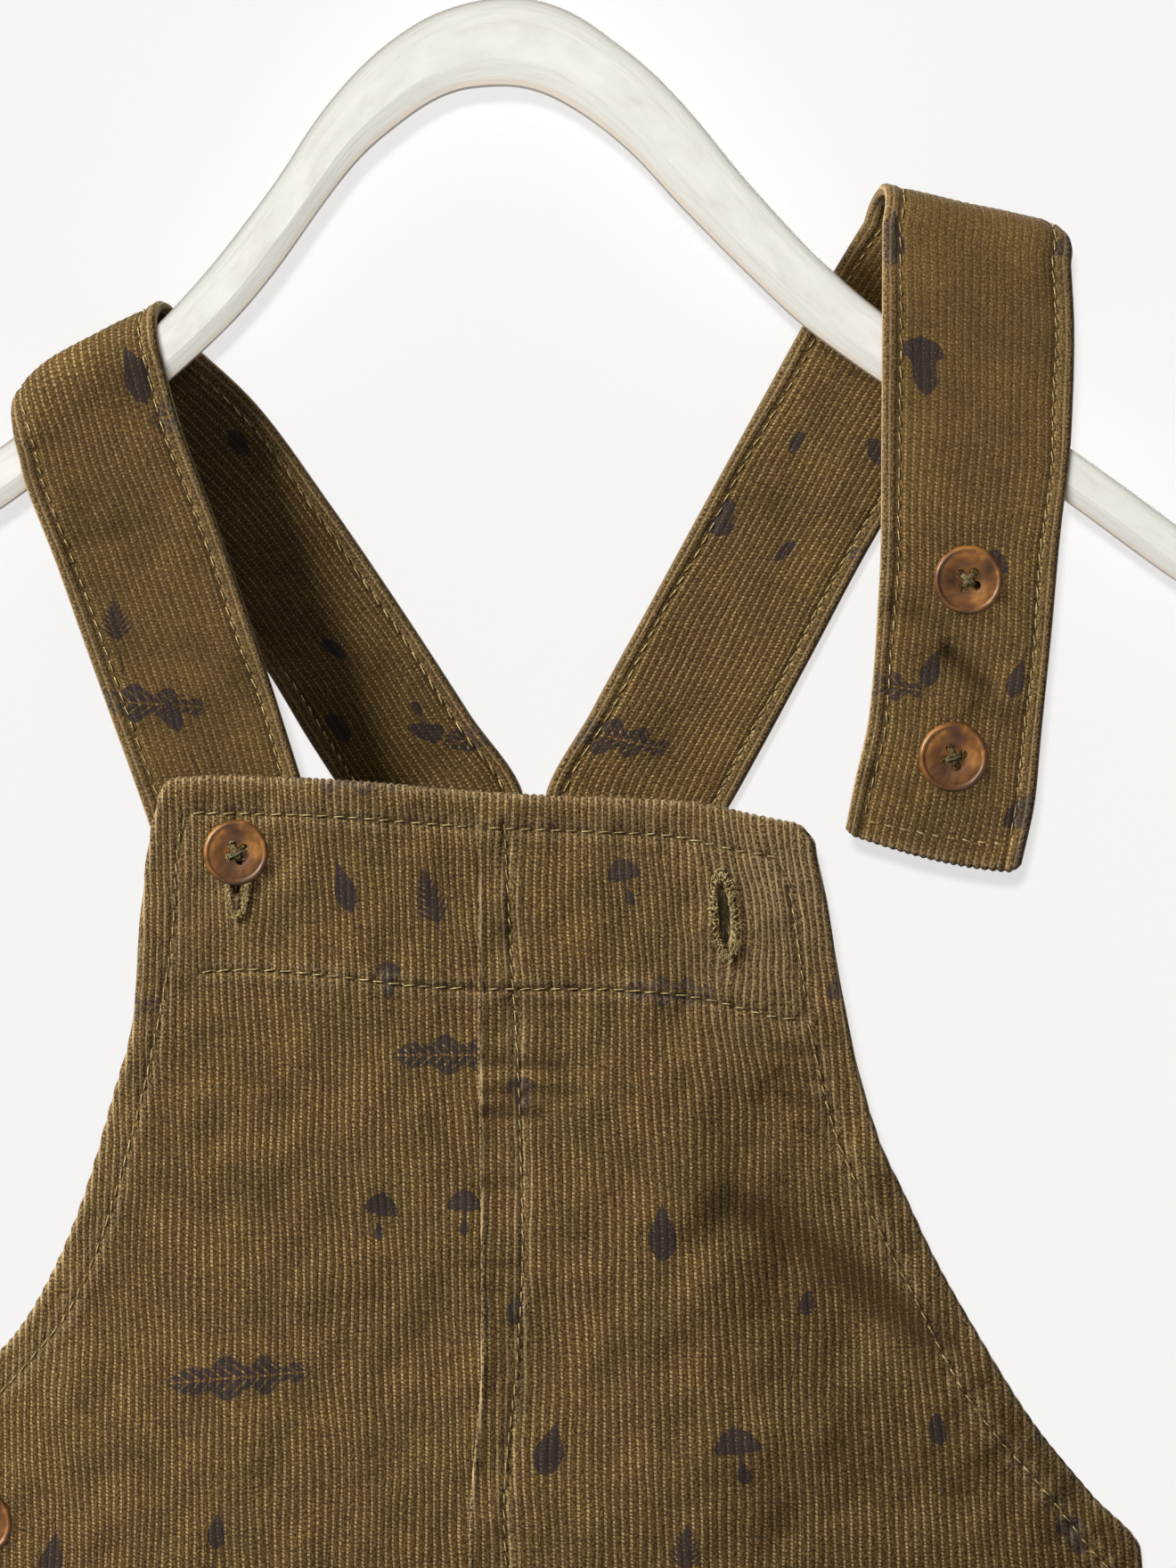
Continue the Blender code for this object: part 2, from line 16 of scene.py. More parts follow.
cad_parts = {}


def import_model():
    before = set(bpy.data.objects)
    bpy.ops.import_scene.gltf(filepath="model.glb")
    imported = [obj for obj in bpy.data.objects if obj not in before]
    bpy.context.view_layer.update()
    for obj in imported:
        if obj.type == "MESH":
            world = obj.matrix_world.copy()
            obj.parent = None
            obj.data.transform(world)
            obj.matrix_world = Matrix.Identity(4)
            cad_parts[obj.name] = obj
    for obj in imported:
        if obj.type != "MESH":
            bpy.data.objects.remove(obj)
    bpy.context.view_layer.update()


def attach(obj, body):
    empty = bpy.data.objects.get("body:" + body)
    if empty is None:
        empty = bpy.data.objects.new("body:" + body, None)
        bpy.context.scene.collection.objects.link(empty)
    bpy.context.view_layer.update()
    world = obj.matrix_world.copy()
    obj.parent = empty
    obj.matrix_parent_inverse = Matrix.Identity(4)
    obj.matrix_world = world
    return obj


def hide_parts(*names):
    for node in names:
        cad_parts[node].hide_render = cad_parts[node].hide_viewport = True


MM = 0.001
BODY = "root"

# Sizes of the solids.
CLOTH = 1.3
STRAP_CLOTH = 2.4
SEAM = 0.3
HEM_Z = -783.0
CROTCH_Z = -553.0
CORNER_LEFT_Z = -392.0
CORNER_RIGHT_Z = -413.0
SIDE_SEAM_Y = SEAM / 2 + CLOTH / 2 + 0.05
HANGER_DEPTH = 11.6
STRAP_TURN = 7.8
HOOK_WIRE = 4.0
HOOK_RADIUS = 20.0
HOOK_FOOT_Z = -62.2
HOOK_ANGLES = (205.0, -50.0)
BUTTON_THICK = 2.8

# The corduroy: ribs of pile that stand out from the cloth, four points across each.
RIB_HEIGHT = 0.2
STRAP_RIB_HEIGHT = 0.14
POINTS_PER_RIB = 4
STRAP_PITCH = 1.74
MAP_PITCH = 1.68
BEAD_STEP = 0.84
TWILL_STEP = 0.7
# The rounded, turned edge of the cloth, and how far each rib stands out past the cut.
EDGE_ROUND = 0.8
SCALLOP = 0.42
CORNER_ROUND = 2.4
# The steps between rows of points: where the picture looks, and below. On the back they are wider.
ROW_STEPS = {"front": (1.3, 5.0), "back": (3.0, 6.0)}
FINE_ABOVE_Z = -415.0
COARSE_BELOW_Z = -470.0
EDGE_STEP = 2.2
EDGE_GAP = 0.3
STRAP_STEP = 3.0
STRAP_ROW_STEP = 1.45
# A strap's steps over the hanger.
TURN_STEPS = 20
# Rings of points inside the edge of the cut and round a slit, and how near to an edge or a seam
# that runs across them the ribs' own points may be.
RIMS = (0.38, 0.95)
SLIT_RIMS = (0.4, 0.95)
CLEAR_OF_EDGE = 1.25
CLEAR_OF_SEAM = 1.75
SEAM_ROWS = (-1.5, -0.8, -0.3, 0.3, 0.8, 1.5)
# How far the lap reaches over the half beside it, and that half under the lap.
LAP_OVER = 0.9
LAP_UNDER = 2.6
LAP_BAND = 7.6

# Sewing.
STITCH_STEP = 3.5
STITCH_LENGTH = 2.8
THREAD_RADIUS = 0.15
WRAP_RADIUS = 0.13
LOOSE_RADIUS = 0.09
TIE_RADIUS = 0.17
RING_WRAPS = 84
RING_KNOTS = 150
LOOSE_ENDS = 9
SHANK_TURNS = 7
CHANNEL = 0.7
STRAP_INSET = 4.0
STRAP_END_INSET = 5.0
HEM_STITCH_RISE = 20.0
ARMHOLE_STITCH_INSET = 11.0
MADE_LINE_DEPTH = 0.8

# The photograph's frame: where its centre is, and its height.
VIEW_X = 17.6
VIEW_Z = -240.0
VIEW_HEIGHT = 352.0
CAMERA_AWAY = 2.6
SENSOR = 36.0
WALL_Y = 24.0
FLOOR_Z = -950.0


def table(columns, *rows):
    """The rows as one array for each named column."""
    return {name: np.array(values, float) for name, values in zip(columns.split(), zip(*rows))}


# Outlines, from the top down. The z of each row drives its x. Below the armholes the front and
# the back are sewn together, so they share the rows of their sides and of their legs.
LEFT_SIDE = (
    (CORNER_LEFT_Z, -150.4), (-430, -151.5), (-480, -153), (-540, -155), (-600, -152),
    (-680, -147), (HEM_Z, -142),
)
RIGHT_SIDE = (
    (CORNER_RIGHT_Z, 142.2), (-450, 143.5), (-500, 145), (-545, 147.5), (-600, 146),
    (-680, 142), (HEM_Z, 137),
)
LEGS = ((CROTCH_Z, -5.6, -4.4), (-600, -12, 2), (-680, -17.5, 8), (HEM_Z, -20, 12))
OUTER = {
    "front_left": table(
        "z x",
        (-238.8, -77.6), (-251.6, -80.6), (-275.6, -83.2), (-293.8, -84.6), (-309.6, -88.8),
        (-332.2, -95.4), (-350, -102.8), (-364.8, -112), (-376.4, -125.8), (-384, -137.6),
        *LEFT_SIDE,
    ),
    "front_right": table(
        "z x",
        (-249.2, 67.6), (-266.6, 71.2), (-289, 75), (-303.4, 78.1), (-320, 83), (-332, 88.6),
        (-346, 95.2), (-366, 106.6), (-384, 118), (-400, 131), *RIGHT_SIDE,
    ),
    "back_left": table(
        "z x",
        (-247, -36), (-264, -37.4), (-284, -41.4), (-314, -49.4), (-340, -63.4), (-360, -84.4),
        (-376, -110.4), *LEFT_SIDE,
    ),
    "back_right": table(
        "z x",
        (-247, 50), (-264, 51.6), (-284, 54.6), (-314, 61.6), (-344, 72.6), (-368, 87.6),
        (-392, 110.6), *RIGHT_SIDE,
    ),
}
CENTRE = {
    "front": table(
        "z left right",
        (-238, -6.4, -6.4), (-284, -6.6, -6.6), (-321, -6.2, -6.2), (-368.2, -5.8, -5.8),
        (-410.2, -8.6, -8.6), (-500, -6.5, -6.5), *LEGS,
    ),
    "back": table(
        "z left right",
        (-247, 7, 7), (-284, 5.6, 5.6), (-344, -0.4, -0.4), (-404, -6, -6), (-500, -6.5, -6.5),
        *LEGS,
    ),
}
TOP = {
    "front": table(
        "x z",
        (-90, -238.8), (-77.6, -238.8), (-64.8, -238.2), (-51.8, -238.6), (-32.4, -239.6),
        (-12.8, -241.4), (5.6, -242.6), (26, -243.2), (41.4, -244.2), (56.6, -247.4),
        (67.6, -249.2), (80, -249.2),
    ),
    "back": table("x z", (-90, -247), (0, -247), (90, -247)),
}
DEPTH = {
    "front": table(
        "z centre swell",
        (-238, 13.3, 0), (-300, 13.7, 0), (-350, 14.2, 0), (-430, 15.2, 0), (-490, 15.4, 1.5),
        (-530, 9, 8), (CROTCH_Z, SIDE_SEAM_Y, 12.6), (-600, SIDE_SEAM_Y, 13.2),
        (-700, SIDE_SEAM_Y, 12), (HEM_Z, SIDE_SEAM_Y, 11),
    ),
    "back": table(
        "z centre swell",
        (-238, 10.6, 0), (-270, 10.8, 0), (-350, 12, 0), (-430, 15, 0), (-490, 17, 1.5),
        (-530, 10, 9), (CROTCH_Z, SIDE_SEAM_Y, 13.8), (-600, SIDE_SEAM_Y, 13.6),
        (-700, SIDE_SEAM_Y, 12), (HEM_Z, SIDE_SEAM_Y, 11),
    ),
}
# The depth at the outer edge, by the rise above the corner where the armhole begins.
EDGE = {
    "front": table(
        "rise y",
        (-400, SIDE_SEAM_Y), (0, SIDE_SEAM_Y), (8, 2.6), (25, 6), (50, 9.4), (95, 12.2), (155, 13.1),
    ),
    "back": table(
        "rise y",
        (-400, SIDE_SEAM_Y), (0, SIDE_SEAM_Y), (8, 2.4), (25, 5.4), (50, 8), (95, 9.8), (170, 10.3),
    ),
}

# The largest folds, as in the solids: a soft line from one end to the other, its half-width, and
# how far it stands out (a trough is negative).
FOLDS = {
    "front": table(
        "x1 z1 x2 z2 half out",
        (44, -334, 86, -366, 9, -2.2), (36, -352, 78, -386, 10, 1.4), (54, -310, 80, -318, 6, -1.3),
        (-60, -372, 10, -378, 16, -1.1), (-118, -420, -60, -436, 12, -1.6),
        (60, -430, 118, -440, 12, -1.8), (-20, -540, -92, -520, 12, -2.2),
        (12, -542, 84, -516, 13, -2.4), (-26, -572, -96, -600, 13, -2.2),
        (16, -570, 80, -604, 12, -2), (-122, -650, -48, -666, 13, -2.4),
        (42, -658, 118, -646, 14, -2.2), (-112, -724, -50, -714, 12, -1.6),
        (46, -716, 106, -728, 12, -1.8),
    ),
    "back": table(
        "x1 z1 x2 z2 half out",
        (-30, -300, 10, -316, 9, -1.2), (60, -372, 20, -344, 10, -1.6),
        (-80, -392, -30, -366, 11, -1.6), (-116, -436, -40, -446, 14, -2),
        (30, -450, 112, -438, 14, -2), (-22, -536, -100, -512, 13, -2.6),
        (14, -538, 92, -514, 13, -2.4), (-28, -574, -104, -596, 13, -2.4),
        (18, -576, 96, -600, 12, -2.2), (-120, -660, -44, -644, 14, -2.2),
        (40, -648, 116, -662, 13, -2.4), (-108, -722, -52, -730, 12, -1.6),
    ),
}
# Small creases that only the looks have, in the same columns.
CREASES = {
    "front": table(
        "x1 z1 x2 z2 half out",
        (-7, -302, 14, -303.2, 1.5, -1.1), (-6.5, -305.6, 9, -306.2, 1.2, 0.35),
        (-6.5, -309, 17, -309.6, 1.3, -0.85), (-7, -314, 9, -314.2, 1.5, -1.1),
        (-7, -330, 4, -331, 1.5, -0.4), (-9, -347.5, 5, -349, 1.5, -0.6),
        (-8, -353, 4, -354.5, 1.4, -0.55), (59, -299, 71, -301, 1.6, -0.7),
        (60, -304.5, 73, -307, 1.5, -0.7), (62, -310, 74, -313.5, 1.6, -0.6),
        (64, -316.5, 76, -321, 1.8, -0.5), (36, -300, 58, -308, 4.5, 0.5),
        (20, -262, 40, -272, 5, -0.45), (-46, -262, -22, -264, 5, -0.35),
        (-30, -300, -14, -330, 6, 0.4), (10, -322, 34, -328, 6, -0.5),
        (-72, -296, -52, -306, 5, -0.5), (-100, -366, -84, -392, 7, 0.5),
        (-64, -246.5, -52, -262, 6, -0.5), (-12, -392, 16, -398, 7, -0.6),
        (92, -392, 116, -404, 7, -0.7), (50, -332, 100, -367, 4.6, -1.3),
        (35, -328, 58, -345, 10, 0.8), (-30, -358, 96, -385, 12, -1.3),
        (-84, -330, -62, -352, 7, -0.6), (10, -312, 56, -404, 26, 2.2),
        (-2, -288.5, 16, -290, 1.4, -0.45), (22, -289.5, 40, -291.5, 1.3, -0.4),
        (-30, -287.5, -14, -288.5, 1.3, -0.4),
    ),
    "back": table(
        "x1 z1 x2 z2 half out",
        (-20, -262, 0, -268, 3, -0.5), (14, -276, 36, -270, 3.5, -0.5),
        (-8, -330, 6, -334, 1.6, -0.5), (-10, -362, 4, -366, 1.8, -0.5),
        (-60, -356, -40, -366, 4, -0.6), (60, -340, 76, -352, 4, -0.6),
    ),
}
# Each panel's ribs: their pitch, the x where they hang upright, how fast they fan out to the
# right of it, and the number of the rib there.
RIBS = {
    "front_left": (1.62, -78, 0.0011, 200),
    "front_right": (1.7, -6, 0.0017, 523.7),
    "back_left": (1.66, 200, 0, 800),
    "back_right": (1.66, 200, 0, 1100),
}

# Topstitching on the front panels: the panel, how deep the stitches sit, and the line.
STITCH_LINES = {
    "bib_top_left": ("front_left", 0.8, ((-72, -246.4), (-45.4, -247), (-19.4, -248.8), (-6.8, -249.8))),
    "bib_top_right": ("front_right", 0.8, (
        (-5.6, -249.8), (16.4, -250.6), (34.2, -251.4), (44.8, -253.4), (51.6, -255), (59.2, -256.4),
        (61.8, -259.6), (63.8, -269.8), (66.8, -291),
    )),
    "facing_left": ("front_left", 0.8, (
        (-69.8, -282.2), (-58.4, -281.6), (-38.8, -283.2), (-19.4, -285.4), (-7, -286),
    )),
    "facing_right": ("front_right", 0.8, (
        (-5.6, -286), (20.8, -286), (31, -286.6), (41.4, -287.8), (49, -289.4), (59.2, -292.2),
        (65.8, -293),
    )),
    "armhole_left": ("front_left", 0.55, (
        (-72.6, -246.8), (-74.4, -254), (-75.6, -273), (-80.2, -300), (-88.8, -332.8),
        (-91.6, -341.6), (-98.8, -357.8), (-106.6, -368), (-118.4, -380.4), (-134, -392),
        (-149.6, -401),
    )),
    "armhole_right": ("front_right", 0.3, (
        (66.9, -293), (73, -318), (82, -338), (91, -355.4), (101.2, -375), (108.2, -385),
        (119.8, -398.2), (132.2, -413.8), (142.2, -424),
    )),
    "centre": ("front_right", 0.75, (
        (-1.2, -248), (0.8, -286), (1.8, -300.8), (2.6, -326), (3, -343), (1.8, -368.2),
        (-1.2, -401.8), (0.6, -440), (1.6, -500), (2.4, -540),
    )),
}
# Places where the pile is painted paler: x, z, radius and how much.
PALE_PATCHES = {
    "front_left": [(-70, -262, 14, 0.3), (-40, -243, 10, 0.25)],
    "front_right": [(62, -260, 18, 0.95), (30, -246, 12, 0.3), (52, -282, 14, 0.6)],
    "back_left": [],
    "back_right": [(40, -252, 12, 0.3)],
}

# Straps: the two edges of each row and the depth of the cloth's middle, up the back, over the
# hanger and down the front; the first rib's number; how far the cloth puffs up over the hanger;
# how far its right corner sinks there; and how faded its pale lines are along it, from its top.
STRAP_COLUMNS = "xl zl xr zr y"
STRAPS = {
    "strap_left": {
        "back": table(
            STRAP_COLUMNS,
            (-27.2, -259.6, 4.6, -259.6, 8.3), (-36, -245, 3.2, -243.6, 8.2),
            (-45.6, -230, -9.2, -224, 8), (-57.4, -211, -24.8, -200, 8),
            (-73.4, -193, -41.2, -176, 8), (-89.4, -178, -58, -153.4, 8),
        ),
        "over": table(
            STRAP_COLUMNS,
            (-105.4, -164, -73, -139.4, STRAP_TURN), (-111, -155.6, -78, -131.8, 0),
            (-110.4, -166.4, -78.6, -142.4, -STRAP_TURN),
        ),
        "front": table(
            STRAP_COLUMNS,
            (-109.4, -171, -74.4, -158, -7.9), (-102, -190.4, -67, -178, -8),
            (-95.9, -207.6, -59.4, -200, -8.6), (-89.1, -226.4, -53.4, -218, -9.6),
            (-81.2, -248.4, -47.2, -237.6, -10.5), (-76, -265, -42, -254.2, -10.4),
            (-70, -285, -36, -274, -8.2), (-64, -305, -30.2, -294, -7),
            (-60.8, -316.4, -26.8, -305.4, -6.8),
        ),
        "first_rib": 1409, "puff": 4, "sink": 0,
        "fade": table("run share", (-100, 0.3), (0, 0.2), (35, 0.45), (90, 0.55), (150, 0.4)),
    },
    "strap_right": {
        "back": table(
            STRAP_COLUMNS,
            (7.4, -259.6, 40.6, -259.6, 8.3), (7.6, -245, 49.6, -245, 8.2),
            (18.4, -223.4, 56.2, -233.2, 8), (29.8, -202.6, 67.4, -212.4, 8),
            (43.3, -177.8, 80.4, -188, 8), (57.4, -152.2, 94, -165, 8),
            (70.6, -128.4, 107.2, -142.4, 8),
        ),
        "over": table(
            STRAP_COLUMNS,
            (80.1, -112.6, 121.5, -122, STRAP_TURN), (83.7, -105.6, 125.6, -114.8, 0),
            (83.8, -113.4, 126.3, -122.8, -STRAP_TURN),
        ),
        "front": table(
            STRAP_COLUMNS,
            (83.7, -130, 127, -139, -7.8), (83.6, -154, 126.4, -160, -7.8),
            (83.4, -184, 123.6, -186, -8.2), (82.7, -200, 122, -204, -8.6),
            (80.8, -224, 119.4, -230, -9), (77.4, -240, 118.2, -243, -9.6),
            (75.2, -251, 114.6, -259.8, -10.4),
        ),
        "first_rib": 1600, "puff": 0.3, "sink": 2.6,
        "fade": table("run share", (-60, 0.1), (-12, 0.5), (5, 0.85), (48, 0.7), (80, 0.3)),
    },
}
# Soft creases of the straps' front runs, in the columns of the folds.
STRAP_CREASES = table(
    "x1 z1 x2 z2 half out",
    (90, -198, 112, -216, 5, -0.9), (97.5, -209, 109.5, -220, 2.1, -1.1),
    (84, -200.5, 100, -204, 2.2, -0.6), (86, -206, 98, -209.5, 2.2, 0.5),
    (104, -222, 117, -226, 2.5, -0.5), (80, -238, 92, -243, 2.5, -0.5),
    (-100, -186, -84, -183, 3, -0.4), (86, -212, 104, -224, 4, 0.5),
    (84, -126, 122, -124, 7, 0.7), (86, -152, 122, -160, 12, -0.5),
    (-104, -176, -74, -164, 8, 0.6), (-98, -200, -66, -190, 9, -0.5),
    (-88, -224, -60, -214, 6, 0.4),
)

HANGER = table(
    "x z height",
    (-164, -204.4, 8.6), (-144.4, -190.6, 10.6), (-114.4, -170.8, 11.2), (-94.4, -155.6, 11.2),
    (-78.2, -143, 11.2), (-64, -128.6, 12), (-47, -106.2, 11.6), (-38.6, -94.2, 13),
    (-30.2, -85.6, 14.9), (-21.8, -79, 16.4), (-10.8, -73.9, 18.6), (0, -72.4, 20.2),
    (9.6, -74.6, 19.4), (17.6, -79.3, 18), (26, -85.4, 17.2), (34.4, -93.4, 16.2),
    (42.8, -103.1, 15.2), (51.2, -112.4, 14.5), (59.6, -121.1, 14), (68, -129.2, 13.6),
    (84, -142, 12.8), (105.6, -156.4, 11.4), (125.6, -170, 10.4), (149.6, -187.5, 10.4),
    (159.6, -195, 8.4),
)
HOOK_NECK = table("x z", (10.2, -35.6), (5, -40.6), (1.4, -45.6), (0, -52), (0, HOOK_FOOT_Z))

# Buttons: x, z, how far in front of the seams' plane its cloth is (None where it sits on a
# panel), its shank, how far its face is turned in degrees, and how large it is drawn.
BUTTONS = {
    "button_left_upper": (-61.3, -255.4, -11.8, 2.7, 74, 0.94),
    "button_left_lower": (-48, -293.2, -8.7, 0.4, 10, 1),
    "button_right_upper": (103, -194.2, -9.6, 0.6, 8, 1),
    "button_right_lower": (99.6, -234, -10.4, 0.6, 62, 1),
    "button_side_left": (-119.4, -406, None, 0.6, 20, 1),
    "button_side_right": (111, -428, None, 0.6, 51, 1),
}
# A button's profile from the middle of its face over its rolled rim to the middle of its back:
# each radius with its height above the back.
BUTTON_PROFILE = table(
    "radius height",
    (0, 2.1), (2.9, 2.12), (3.3, 2.2), (3.7, 2.34), (5, 2.46), (6.1, 2.54), (6.35, 2.5), (6.6, 2.62),
    (6.8, 2.75), (7.05, 2.8), (7.35, 2.66), (7.62, 2.3), (7.8, 1.7), (7.74, 1.3), (7.4, 0.85),
    (6.6, 0.34), (5.4, 0.06), (4, 0), (0, 0),
)
BUTTON_DISH = 0.7
DRILL_CIRCLE = 2.1
# Buttonholes: the slit's centre, its lean in degrees, the height of the worked ring's centre, the
# ring's half-width and half-length, and the width of its band.
BUTTONHOLES = {
    "front_left": {
        "x": -61.2, "z": -258.6, "lean": 0, "ring_z": -260.6, "ring": (3, 9.8), "band": 1.15,
    },
    "front_right": {
        "x": 48.2, "z": -269.6, "lean": 4.8, "ring_z": -269.6, "ring": (3.4, 10.5), "band": 1.9,
    },
}
SLIT_HALF_WIDTH = 1.25
SLIT_HALF_LENGTH = 6.0

# Lamps: azimuth to the right of the camera and elevation, in degrees, aimed at the middle of the
# view; distance and width in metres; power in watts; colour; and the pieces it lights or leaves.
WARM = (1.0, 0.985, 0.96)
WHITE = (1.0, 1.0, 1.0)
LAMPS = (
    ("key", -62, 26, 2.4, 0.67, 95, WARM, "EXCLUDE", "wall floor hanger buttons ties"),
    ("button_key", -62, 26, 2.4, 0.67, 95, WARM, "INCLUDE", "buttons ties"),
    ("front_key", -30, 34, 2.4, 0.3, 13.5, WARM, "EXCLUDE", "wall floor hanger strap_left"),
    ("hanger_key", -15, 3, 2.0, 1.2, 38.5, (1.0, 0.99, 0.97), "INCLUDE", "hanger"),
    ("fill", 10, 20, 2.4, 1.4, 3, WARM, "EXCLUDE", "wall"),
    ("back", 160, 30, 2.2, 1.2, 48, WHITE, "EXCLUDE", "wall"),
    ("wall_light", -3, 6, 8, 0.5, 243, WHITE, "INCLUDE", "wall"),
)
WORLD_COLOUR = (0.97, 0.96, 0.94, 1.0)
WORLD_STRENGTH = 0.1
CAMERA_Y = -0.012 - CAMERA_AWAY


def srgb(*values):
    """A display colour of 0 to 255 as the linear colour that shaders take."""
    def linear(v):
        v = v / 255
        return v / 12.92 if v <= 0.04045 else ((v + 0.055) / 1.055) ** 2.4

    return (*(linear(v) for v in values), 1.0)


def through(keys, values):
    """A smooth function through the points that never overshoots them (monotone cubic)."""
    order = np.argsort(keys)
    xs, ys = keys[order], values[order]
    steps = np.diff(xs)
    slopes = np.diff(ys) / steps
    tangents = np.zeros(len(xs))
    tangents[0], tangents[-1] = slopes[0], slopes[-1]
    before, after = 2 * steps[1:] + steps[:-1], steps[1:] + 2 * steps[:-1]
    for i in np.nonzero(slopes[:-1] * slopes[1:] > 0)[0]:
        weights = before[i] / slopes[i] + after[i] / slopes[i + 1]
        tangents[i + 1] = (before[i] + after[i]) / weights

    def at(x):
        x = np.clip(x, xs[0], xs[-1])
        i = np.clip(np.searchsorted(xs, x) - 1, 0, len(steps) - 1)
        t = (x - xs[i]) / steps[i]
        rise = ys[i] * (1 + 2 * t) * (1 - t) ** 2 + ys[i + 1] * t * t * (3 - 2 * t)
        return rise + steps[i] * t * (1 - t) * (tangents[i] * (1 - t) - tangents[i + 1] * t)

    return at


def bell(t):
    """1 at 0, falling softly to nothing past 2 on either side."""
    return np.exp(-(t**2))


def smoothstep(low, high, x):
    t = np.clip((x - low) / (high - low), 0.0, 1.0)
    return t * t * (3 - 2 * t)


def run_along(points):
    """How far along a line each of its points is."""
    return np.concatenate([[0.0], np.cumsum(np.linalg.norm(np.diff(points, axis=0), axis=1))])


def unit(vectors):
    return vectors / np.linalg.norm(vectors, axis=-1, keepdims=True)


def rotated(x, z, degrees):
    """A place turned about the origin."""
    angle = math.radians(degrees)
    return x * math.cos(angle) - z * math.sin(angle), x * math.sin(angle) + z * math.cos(angle)


def folds(rows, x, z):
    """How far the folds in the table move the cloth outwards at a point."""
    total = 0.0
    for x1, z1, x2, z2, half, out in zip(*rows.values()):
        run = np.array([x2 - x1, z2 - z1])
        length = np.hypot(*run)
        along = ((x - x1) * run[0] + (z - z1) * run[1]) / length**2
        across = ((x - x1) * run[1] - (z - z1) * run[0]) / length
        beyond = (along - np.clip(along, 0.15, 0.85)) * length / (0.3 * length)
        total += out * np.exp(-((across / half) ** 2) - 4 * beyond**2)
    return total


def crease_shade(rows, x, z):
    """How much painted shade darkens the cloth in the table's narrow troughs."""
    narrow = (rows["half"] < 5.0) & (rows["out"] < 0.0)
    troughs = {name: values[narrow] for name, values in rows.items()}
    return np.clip(-folds(troughs, x, z), 0.0, 1.0)


def wander(x, z, size, seed):
    """A smooth uneven surface of about -1 to 1 whose bumps are that size in millimetres."""
    rng = np.random.default_rng(seed)
    total = 0.0
    for _ in range(7):
        angle, phase = rng.uniform(0, 2 * math.pi, 2)
        wave = 2 * math.pi / (size * rng.uniform(1.4, 3.2))
        total = total + np.sin(wave * (x * math.cos(angle) + z * math.sin(angle)) + phase)
    return total / 3.5


def near(line, x, z):
    """The distance from each point to the line, and how far along the line that is."""
    best = np.full(np.shape(x), 1e6)
    along = np.zeros(np.shape(x))
    run = 0.0
    for (x1, z1), (x2, z2) in zip(line, line[1:]):
        dx, dz = x2 - x1, z2 - z1
        length = math.hypot(dx, dz)
        t = np.clip(((x - x1) * dx + (z - z1) * dz) / length**2, 0.0, 1.0)
        away = np.hypot(x - x1 - t * dx, z - z1 - t * dz)
        closer = away < best
        best = np.where(closer, away, best)
        along = np.where(closer, run + t * length, along)
        run += length
    return best, along


def crest(rib):
    """The height of the pile across one rib, 0 in the valley and 1 on the crest."""
    return (0.5 - 0.5 * np.cos(2 * math.pi * rib)) ** 0.7


def rounded(distance):
    """How full the cloth is at that distance from its turned edge."""
    t = 1 - np.clip(distance / EDGE_ROUND, 0.0, 1.0)
    return np.sqrt(1 - t * t)


